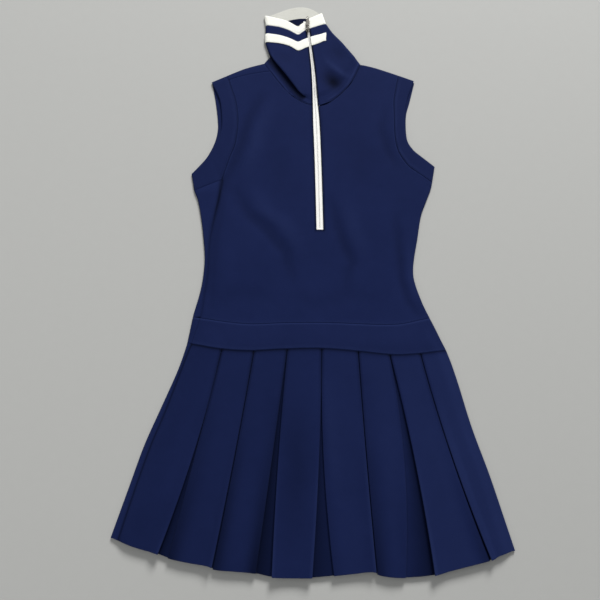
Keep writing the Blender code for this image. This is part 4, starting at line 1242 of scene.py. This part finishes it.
def smoothRun(points, cells):
    # more points on a smooth curve through points that lie near or far apart
    run = [2 * points[0] - points[1]] + list(points) + [2 * points[-1] - points[-2]]
    result = [points[0]]
    for k in range(1, len(run) - 2):
        p0, p1, p2, p3 = run[k - 1:k + 3]
        t1 = max((p1 - p0).length, 1e-4) ** 0.5
        t2 = t1 + max((p2 - p1).length, 1e-4) ** 0.5
        t3 = t2 + max((p3 - p2).length, 1e-4) ** 0.5
        for n in range(1, cells + 1):
            t = t1 + (t2 - t1) * n / cells
            a, b, c = mixAt(p0, p1, 0.0, t1, t), mixAt(p1, p2, t1, t2, t), mixAt(p2, p3, t2, t3, t)
            result.append(mixAt(mixAt(a, b, 0.0, t2, t), mixAt(b, c, t1, t3, t), t1, t2, t))
    return result


def onZip(column, side):
    # the collar's front edge follows the zip
    for p in column:
        if p.y < zipLine[-1][0]:
            middle, half, _ = zipPlace(p.y)
            p.x = middle + side * half


def collarColumn(neck, levels, depth, low, rise, high):
    tuck, stripeLow, stripeTop, bandLow, top = [atHeight(p, high) for p in levels]
    tuck.z = low
    along = stripeLow - tuck
    along.z = 0
    along.normalize()
    half = pitch / 2
    if depth:
        steps = [depth, depth + half, depth, 0, -half, 0]
        shares = [0, 0.25, 0.5, 0.5, 0.75, 1]
    else:
        step = collar["slopeStep"] if depth is None else collar["steepStep"]
        steps = [step * k for k in range(1, 7)]
        shares = [k / 6 for k in range(1, 7)]
    column = [stepTo(neck, tuck, collar["neckGap"]), (neck + tuck) / 2, tuck]
    column += [atHeight(tuck + along * step, low + share * rise)
               for step, share in zip(steps, shares)]
    return column + [(column[-1] + stripeLow) / 2, stripeLow, stripeTop,
                     stepTo(bandLow, stripeTop, collar["neckGap"]), bandLow,
                     (bandLow + top) / 2, top]


def foldedOver(tops, first, rest):
    # the column at the tip of a side fold and the one under it; the two lowest tops are
    # the neck's and go out its own way
    tips = []
    for k, p in enumerate(tops):
        radius = (p.z - ground) / 2
        out = first if k < 2 else rest
        tips.append(Vector((p.x + out[0] * radius, p.y + out[1] * radius, ground + radius)))
    return tips, [atHeight(p, ground) for p in tops]


def plainColumn(neck, levels):
    low = min(curveThrough(zipLine, levels[0][1], 3), collar["plainLow"])
    return collarColumn(neck, levels, None, low, knit["collarLevel"] - low, knit["collarLevel"])


def collarColumns():
    halves = []
    for neck, table in ((halve(evenPoints(neckLeft, 4) + [leftShoulderFold[-1]]), collarLeft),
                        (halve(evenPoints(neckRight, 4)), collarRight)):
        refined = [refine(level) for level in table]
        halves.append([(atHeight(p, frontHeight(*p, False)), [level[k] for level in refined])
                       for k, p in enumerate(neck)])
    columns = []
    for (start, levels), depth in zip(halves[0], collar["tuck"]):
        if depth is None:
            columns.append(plainColumn(start, levels))
        else:
            columns.append(collarColumn(start, levels, depth, knit["frontLevel"],
                                        pitch * (1.7 + 0.24 * depth), knit["collarLevel"]))
    onZip(columns[0], -1)
    columns += foldedOver(plainColumn(start, levels), knit["leftOut"], (-1, 0.1))
    neckRow = evenPoints(neckBack, collar["backColumns"])
    for k in range(1, collar["backColumns"] + 1):
        t = k / collar["backColumns"] * collar["backReach"]
        levels = []
        for left, right, bow in zip(collarLeft, collarRight, collar["backBow"]):
            a, b = left[-1], right[-1]
            levels.append((a[0] + (b[0] - a[0]) * t,
                           a[1] + (b[1] - a[1]) * t + 4 * bow * t * (1 - t)
                           * (1 + collar["backSkew"] * (2 * t - 1))))
        columns.append(collarColumn(onBack(neckRow[k]), levels, None, ground, 0.0, ground))
    right = [plainColumn(start, levels) for start, levels in halves[1]]
    onZip(right[0], 1)
    columns += foldedOver(right[-1], knit["rightOut"], (0.8, 0.6))[::-1]
    return columns + right[::-1]


def creasedCollar(rows):
    for row in rows:
        for k, p in enumerate(row):
            if p.z > knit["collarLevel"] - collar["creasedFrom"]:
                deep = creaseDepth(p.x, p.y, collarCreases)
                row[k] = atHeight(p, max(p.z - deep, ground + pitch + 2 * knit["clearance"]))


def makeCollar():
    control = crossed(collarColumns())
    fine, bandRow = collar["fine"], collar["bandRow"]
    fineRows = []
    for part in (control[:bandRow], control[bandRow:]):
        lines = [smoothRun(row, fine) for row in part]
        fineRows.append(crossed([smoothRun(line, fine) for line in crossed(lines)]))
    body, band = fineRows
    creasedCollar(body)
    stripeStart = collar["stripeRow"] * fine
    stripes = [list(row) for row in body[stripeStart:stripeStart + fine + 1]]
    foldColumn = (len(collar["tuck"]) - 1) * fine
    last = len(body[0]) - 1
    body, band = closeRows(body), closeRows(band)
    rollEnds(body, collar["rollAbove"])
    rollEnds(band, collar["rollAbove"])
    pieces = [makeCloth("collarPanel", body, navy, tone=collarTone),
              makeCloth("collarTopBinding", band, whiteRib, tone=bindingTone)]
    out = knit["wall"] / 2 + 0.1 + collar["stripeWall"] / 2
    for name, columns, tilted in (
            ("collarStripeLeft", range(0, foldColumn + fine + 1), foldColumn - 2),
            ("collarStripeRight", range(last - (collar["stripeColumns"] - 1) * fine, last + 1),
             last + 1)):
        # the stripe lies on the collar, and leans over with it at the left fold
        rows = []
        for row in stripes:
            line = []
            for i in columns:
                q, r = row[max(i - 1, 0)], row[min(i + 1, last)]
                lean = Vector((r.z - q.z, 0, q.x - r.x)).normalized()
                line.append(row[i] + (lean if i >= tilted else Vector((0, 0, 1))) * out)
            rows.append(line)
        pieces.append(makeCloth(name, rows, whiteRib, wall=collar["stripeWall"]))
    return pieces


# The zip: two tapes under the slot's edges, a closed coil between them
zipParts = {
    "under": 3.0,       # the tape's edge that lies under the cloth
    "cells": 90,
    "halfGap": 0.15,    # between the tapes
    "tapeWall": 0.9,
    "toothStep": 1.35,
    "tooth": (2.1, 1.05, 1.1),
    "toothAside": 0.45,
    "lean": 0.12,
    "toothUp": 0.6,     # over the tape
    "stop": (5.0, 2.4, 1.1),
    "stopUp": 0.75,
    "top": 452.0,
    "coilTop": 436.0,
    "coilLow": 52.0,
    "tapeLow": 47.0,
    "slider": (-4.1, 434.0),
}


def zipPlace(y):
    return (curveThrough(zipLine, y), curveThrough(zipLine, y, 2), curveThrough(zipLine, y, 3))


def makeZip():
    pieces = []
    low, high, gap = zipParts["tapeLow"], zipParts["top"], zipParts["halfGap"]
    for name, side in (("zipTapeLeft", -1), ("zipTapeRight", 1)):
        rows = []
        for k in range(zipParts["cells"] + 1):
            y = low + (high - low) * k / zipParts["cells"]
            x, half, level = zipPlace(max(y, bodice["zipBottom"]))
            row = [Vector((x + side * (gap + (half + zipParts["under"] - gap) * share), y,
                           level - pitch + 0.15 * (share - 0.5)))
                   for share in (0.0, 0.25, 0.5, 0.75, 1.0)]
            rows.append(row if side > 0 else row[::-1])
        pieces.append(makeCloth(name, rows, whiteTape, wall=zipParts["tapeWall"]))
    bm = bmesh.new()
    low = zipParts["coilLow"]
    for k in range(int((zipParts["coilTop"] - low) / zipParts["toothStep"])):
        y = low + k * zipParts["toothStep"]
        x, _, level = zipPlace(y)
        aside = -zipParts["toothAside"] if k % 2 else zipParts["toothAside"]
        addBead(bm, Vector((x + aside, y, level - pitch + zipParts["toothUp"])),
                Vector((1, zipParts["lean"], 0)), zipParts["tooth"])
    x, _, level = zipPlace(low)
    addBlock(bm, (x, low - 0.6, level - pitch + zipParts["stopUp"]), zipParts["stop"], 0.4)
    return pieces + [makePiece("zipCoil", bm, coil)]


def scaled(place, size, turn=Matrix()):
    return (Matrix.Translation(Vector(place) * mm) @ turn
            @ Matrix.Diagonal((*(c * mm for c in size), 1.0)))


def softened(bm, verts, soft):
    rim = list({edge for vert in verts for edge in vert.link_edges})
    bmesh.ops.bevel(bm, geom=rim, offset=soft * mm, segments=2, profile=0.5,
                    affect="EDGES", clamp_overlap=True, material=-1)


def addBead(bm, place, way, size):
    # a small rounded bead, size[0] long in the way given
    made = bmesh.ops.create_uvsphere(bm, u_segments=6, v_segments=4, radius=0.5)["verts"]
    turn = way.to_track_quat("X", "Z").to_matrix().to_4x4()
    bmesh.ops.transform(bm, matrix=scaled(place, size, turn), verts=made)


def addBlock(bm, place, size, soft):
    # a block with rounded edges
    made = bmesh.ops.create_cube(bm, size=1.0)["verts"]
    bmesh.ops.transform(bm, matrix=scaled(place, size), verts=made)
    softened(bm, made, soft)


def addPlate(bm, outline, way, soft):
    # a flat outline made as thick as the way it is pushed, with rounded edges
    verts = [bm.verts.new(Vector(p) * mm) for p in outline]
    made = bmesh.ops.extrude_face_region(bm, geom=[bm.faces.new(verts)])["geom"]
    far = [v for v in made if isinstance(v, bmesh.types.BMVert)]
    bmesh.ops.translate(bm, vec=Vector(way) * mm, verts=far)
    softened(bm, verts + far, soft)


def addWire(bm, path, radius, sides=10):
    # a closed wire: a circle at each place, each joined to the next
    rings = []
    for k, place in enumerate(path):
        way = (path[(k + 1) % len(path)] - path[k - 1]).normalized()
        turn = way.to_track_quat("Z", "Y").to_matrix().to_4x4()
        made = bmesh.ops.create_circle(bm, segments=sides, radius=radius * mm,
                                       matrix=Matrix.Translation(place * mm) @ turn)["verts"]
        rings.append(list({edge for vert in made for edge in vert.link_edges}))
    for k, ring in enumerate(rings):
        bmesh.ops.bridge_loops(bm, edges=ring + rings[(k + 1) % len(rings)])


slider = {
    "low": 6.5,         # the plate's underside
    "plate": 1.4,
    "plateSoft": 0.38,
    "soft": 0.3,
    "outline": [(-2.3, -6.5), (2.3, -6.5), (3.0, -1.3), (3.7, 3.2), (2.6, 6.5), (-2.6, 6.5),
                (-3.7, 3.2), (-3.0, -1.3)],
    "neck": (2.2, 9.0, 1.7),
    "crown": [(-4.5, -0.3), (-3.5, -0.3), (-3.5, 1.7), (-2.9, 2.3), (2.9, 2.3), (3.5, 1.7),
              (3.5, -0.3), (4.5, -0.3), (4.5, 2.2), (3.6, 3.3), (-3.6, 3.3), (-4.5, 2.2)],
    "crownWide": 2.4,
    "hinge": 9.05,
    "bail": (2.55, 6.4, 1.5, 0.4),  # half its width, its length, its far and near corners
    "bailWire": 0.5,
    "tab": [(-2.4, 5.7), (2.4, 5.7), (3.4, 9.5), (3.4, 15.5), (2.6, 19.0), (1.3, 20.6),
            (-1.3, 20.6), (-2.6, 19.0), (-3.4, 15.5), (-3.4, 9.5)],
    "tabThick": 0.9,
    "ringAt": 21.9,
    "ring": (2.16, 2.7, 0.55),  # half its width and length, and how far it tilts
    "ringCells": 28,
    "ringWire": 0.42,
}


def cast(name, bm, body):
    # a metal piece, whose flat faces stay flat in the light
    bmesh.ops.recalc_face_normals(bm, faces=bm.faces)
    piece = makePiece(name, bm, metal, body)
    even = piece.modifiers.new("Flat faces", "WEIGHTED_NORMAL")
    even.mode = "FACE_AREA"
    even.weight = 90
    return piece


def makeSlider():
    x, y = zipParts["slider"]
    low, soft, half = slider["low"], slider["soft"], slider["crownWide"] / 2
    top = low + slider["plate"]
    bm = bmesh.new()
    addPlate(bm, [(x + a, y + b, low) for a, b in slider["outline"]], (0, 0, slider["plate"]),
             slider["plateSoft"])
    addBlock(bm, (x, y, low - slider["neck"][2] / 2 + 0.3), slider["neck"], soft)
    addPlate(bm, [(x - half, y + a, top + b) for a, b in slider["crown"]],
             (slider["crownWide"], 0, 0), soft)
    return cast("zipSliderBody", bm, "dress")


def makePull():
    x, y = zipParts["slider"]
    z, thick = slider["hinge"], slider["tabThick"]
    half, length, far, near = slider["bail"]
    path = []
    for cx, cy, radius, start in ((half - far, length - far, far, 0),
                                  (far - half, length - far, far, 90),
                                  (near - half, near, near, 180), (half - near, near, near, 270)):
        for k in range(5):
            angle = math.radians(start + 22.5 * k)
            path.append(Vector((x + cx + radius * math.cos(angle),
                                y + cy + radius * math.sin(angle), z)))
    bm = bmesh.new()
    addWire(bm, path, slider["bailWire"])
    addPlate(bm, [(x + a, y + b, z - thick / 2) for a, b in slider["tab"]], (0, 0, thick),
             slider["soft"])
    wide, long, tilt = slider["ring"]
    turns = [math.tau * k / slider["ringCells"] for k in range(slider["ringCells"])]
    addWire(bm, [Vector((x + wide * math.cos(t), y + slider["ringAt"] + long * math.sin(t),
                         z + tilt * math.cos(t))) for t in turns], slider["ringWire"])
    return cast("zipPullTab", bm, "zip_pull")


# Sewing: small stitches that lie on the cloth beside its seams
sewing = {
    "step": 3.0,
    "size": (2.3, 0.6, 0.46),
    "lift": 0.6,        # over the middle of the wall
    "beside": 1.7,      # away from the seam
}


def beside(points, shift, cells=60):
    # a plane line moved to its left, on the front
    run = evenPoints(points, cells)
    moved = []
    for k, p in enumerate(run):
        a, b = run[max(k - 1, 0)], run[min(k + 1, cells)]
        long = math.dist(a, b)
        place = (p[0] - (b[1] - a[1]) / long * shift, p[1] + (b[0] - a[0]) / long * shift)
        moved.append(onFront(place) + Vector((0, 0, sewing["lift"])))
    return moved


def makeStitches(name, lines):
    bm = bmesh.new()
    for line in lines:
        spans = [(b - a).length for a, b in zip(line, line[1:])]
        k, done = 0, 0.0
        for n in range(int(sum(spans) / sewing["step"])):
            at = (n + 0.5) * sewing["step"]
            while done + spans[k] < at:
                done += spans[k]
                k += 1
            way = (line[k + 1] - line[k]).normalized()
            addBead(bm, line[k] + way * (at - done), way, sewing["size"])
    return makePiece(name, bm, navyThread)


def makeSewing():
    near = sewing["beside"]
    low, high = zipLine[0][0], neckLeft[0][1]
    ys = [low + (high - low) * k / 8 for k in range(9)]
    zipSides = [[(zipPlace(y)[0] + side * zipPlace(y)[1], y) for y in ys] for side in (-1, 1)]
    x, half, _ = zipPlace(low)
    waist = [(x, curveThrough(upperWaist, x)) for x in range(-166, 170, 12)]
    seam = [(x, curveThrough(lowerWaist, x)) for x in range(-184, 205, 12)]
    foot = [(x - half - near, low - near), (x + half + near, low - near)]
    return [makeStitches(name, [beside(*line) for line in lines]) for name, lines in (
        ("armholeStitchesLeft", [(leftArmholeFront, near), (leftArmholeFront, -near)]),
        ("armholeStitchesRight", [(rightArmholeFront, near), (rightArmholeFront, -near)]),
        ("neckStitches", [(neckLeft, near), (neckRight, -near), (leftShoulderSeam, -near, 20)]),
        ("waistStitches", [(waist, near), (waist, -near), (seam, near)]),
        ("zipStitches", [(zipSides[0], near), (zipSides[1], -near), (foot, 0.0, 8)]))]


print("golf dress: building the bodice")
edges = bodiceEdges()
frontBodicePiece = makeFrontBodice(edges)
backBodicePiece = makeBackBodice(edges)
bandLeft, bandRight = makeArmholeBands(edges)
waistFront, waistBack = makeWaistbands(edges)
print("golf dress: pleating the skirt")
skirtFront = makeFrontSkirt()
skirtBack = makeBackSkirt()
print("golf dress: folding the collar")
collarPiece, bindingPiece, stripeLeft, stripeRight = makeCollar()
tapeLeft, tapeRight, coilPiece = makeZip()
sliderPiece, pullPiece = makeSlider(), makePull()
print("golf dress: sewing")
sewn = makeSewing()
armholesLeft, armholesRight, necks, waists, zips = sewn

# Each piece of cloth with the solid that it stands for and its cut: width, length and area
# before it is sewn, how it is held, what it rests on and which pieces go with it
sheets = [
    (backBodicePiece, "back_bodice", (0.43, 0.475), 0.152, "laid", [], []),
    (frontBodicePiece, "front_bodice", (0.42, 0.475), 0.138, "laid", [backBodicePiece],
     [necks, zips]),
    (bandLeft, "armhole_band_left", (0.53, 0.035), 0.0134, "laid", [frontBodicePiece],
     [armholesLeft]),
    (bandRight, "armhole_band_right", (0.47, 0.030), 0.0096, "laid", [frontBodicePiece],
     [armholesRight]),
    (waistBack, "back_waistband", (0.42, 0.052), 0.0176, "laid", [], []),
    (waistFront, "front_waistband", (0.40, 0.054), 0.0178, "laid", [waistBack], [waists]),
    (skirtBack, "back_skirt", (1.16, 0.345), 0.330, "folded", [], []),
    (skirtFront, "front_skirt", (1.16, 0.350), 0.340, "folded", [skirtBack], []),
    (collarPiece, "collar", (0.42, 0.150), 0.034, "folded", [backBodicePiece], []),
    (bindingPiece, "collar_binding", (0.225, 0.024), 0.0050, "laid", [collarPiece], []),
    (stripeLeft, "collar_stripe_left", (0.090, 0.019), 0.00135, "laid", [collarPiece], []),
    (stripeRight, "collar_stripe_right", (0.030, 0.019), 0.00048, "laid", [collarPiece], []),
    (tapeLeft, "zip_tape_left", (0.010, 0.412), 0.0031, "laid", [backBodicePiece],
     [coilPiece]),
    (tapeRight, "zip_tape_right", (0.010, 0.412), 0.0031, "laid", [backBodicePiece], []),
]
for piece, node, flat, area, held, under, along in sheets:
    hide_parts(node)
for piece, node in ((sliderPiece, "zip_slider"), (pullPiece, "zip_pull")):
    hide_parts(node)

# Floor, light and camera
studio = {
    "floor": (0.375, 0.375, 0.36),
    "sky": 0.40,
    "skyColor": (0.96, 0.98, 1.0, 1.0),
    "key": ((1.35, 4.7, 2.9), 2.1, 470.0),      # place, size and power
    "fill": ((-0.9, -0.3, 1.5), 1.5, 5.0),
    "cameraPlace": (-0.018, -0.33663, 0.99877),
    "cameraAim": (-0.018, -0.069, 0.0),
    "lens": 38.58,
}


def makeFloor():
    bm = bmesh.new()
    bmesh.ops.create_grid(bm, x_segments=1, y_segments=1, size=3.0)
    mesh = bpy.data.meshes.new("floor")
    bm.to_mesh(mesh)
    bm.free()
    floor = bpy.data.objects.new("floor", mesh)
    bpy.context.collection.objects.link(floor)
    shades = Shades("pale floor", studio["floor"], {"Roughness": 0.9})
    speck = shades.grain("Object", 60.0, 4.0, 0.6)
    shades.painted(shades.blended(speck, tuple(c * 0.97 for c in studio["floor"]),
                                  studio["floor"]))
    mesh.materials.append(shades.material)


def aimed(name, data, place):
    # a lamp or camera that looks at the dress
    thing = bpy.data.objects.new(name, data)
    thing.location = place
    aim = Vector(studio["cameraAim"]) - Vector(place)
    thing.rotation_euler = aim.to_track_quat("-Z", "Y").to_euler()
    bpy.context.collection.objects.link(thing)
    return thing


makeFloor()
for name in ("key", "fill"):
    place, size, power = studio[name]
    lamp = bpy.data.lights.new(name, "AREA")
    lamp.shape = "DISK"
    lamp.size = size
    lamp.energy = power
    aimed(name, lamp, place)
world = bpy.data.worlds.new("soft room")
world.use_nodes = True
world.node_tree.nodes["Background"].inputs["Color"].default_value = studio["skyColor"]
world.node_tree.nodes["Background"].inputs["Strength"].default_value = studio["sky"]
bpy.context.scene.world = world
bpy.context.scene.view_settings.view_transform = "Standard"

lens = bpy.data.cameras.new("camera")
lens.lens = studio["lens"]
lens.sensor_width = 36.0
lens.clip_start = 0.01
bpy.context.scene.camera = aimed("camera", lens, studio["cameraPlace"])

bpy.context.view_layer.update()
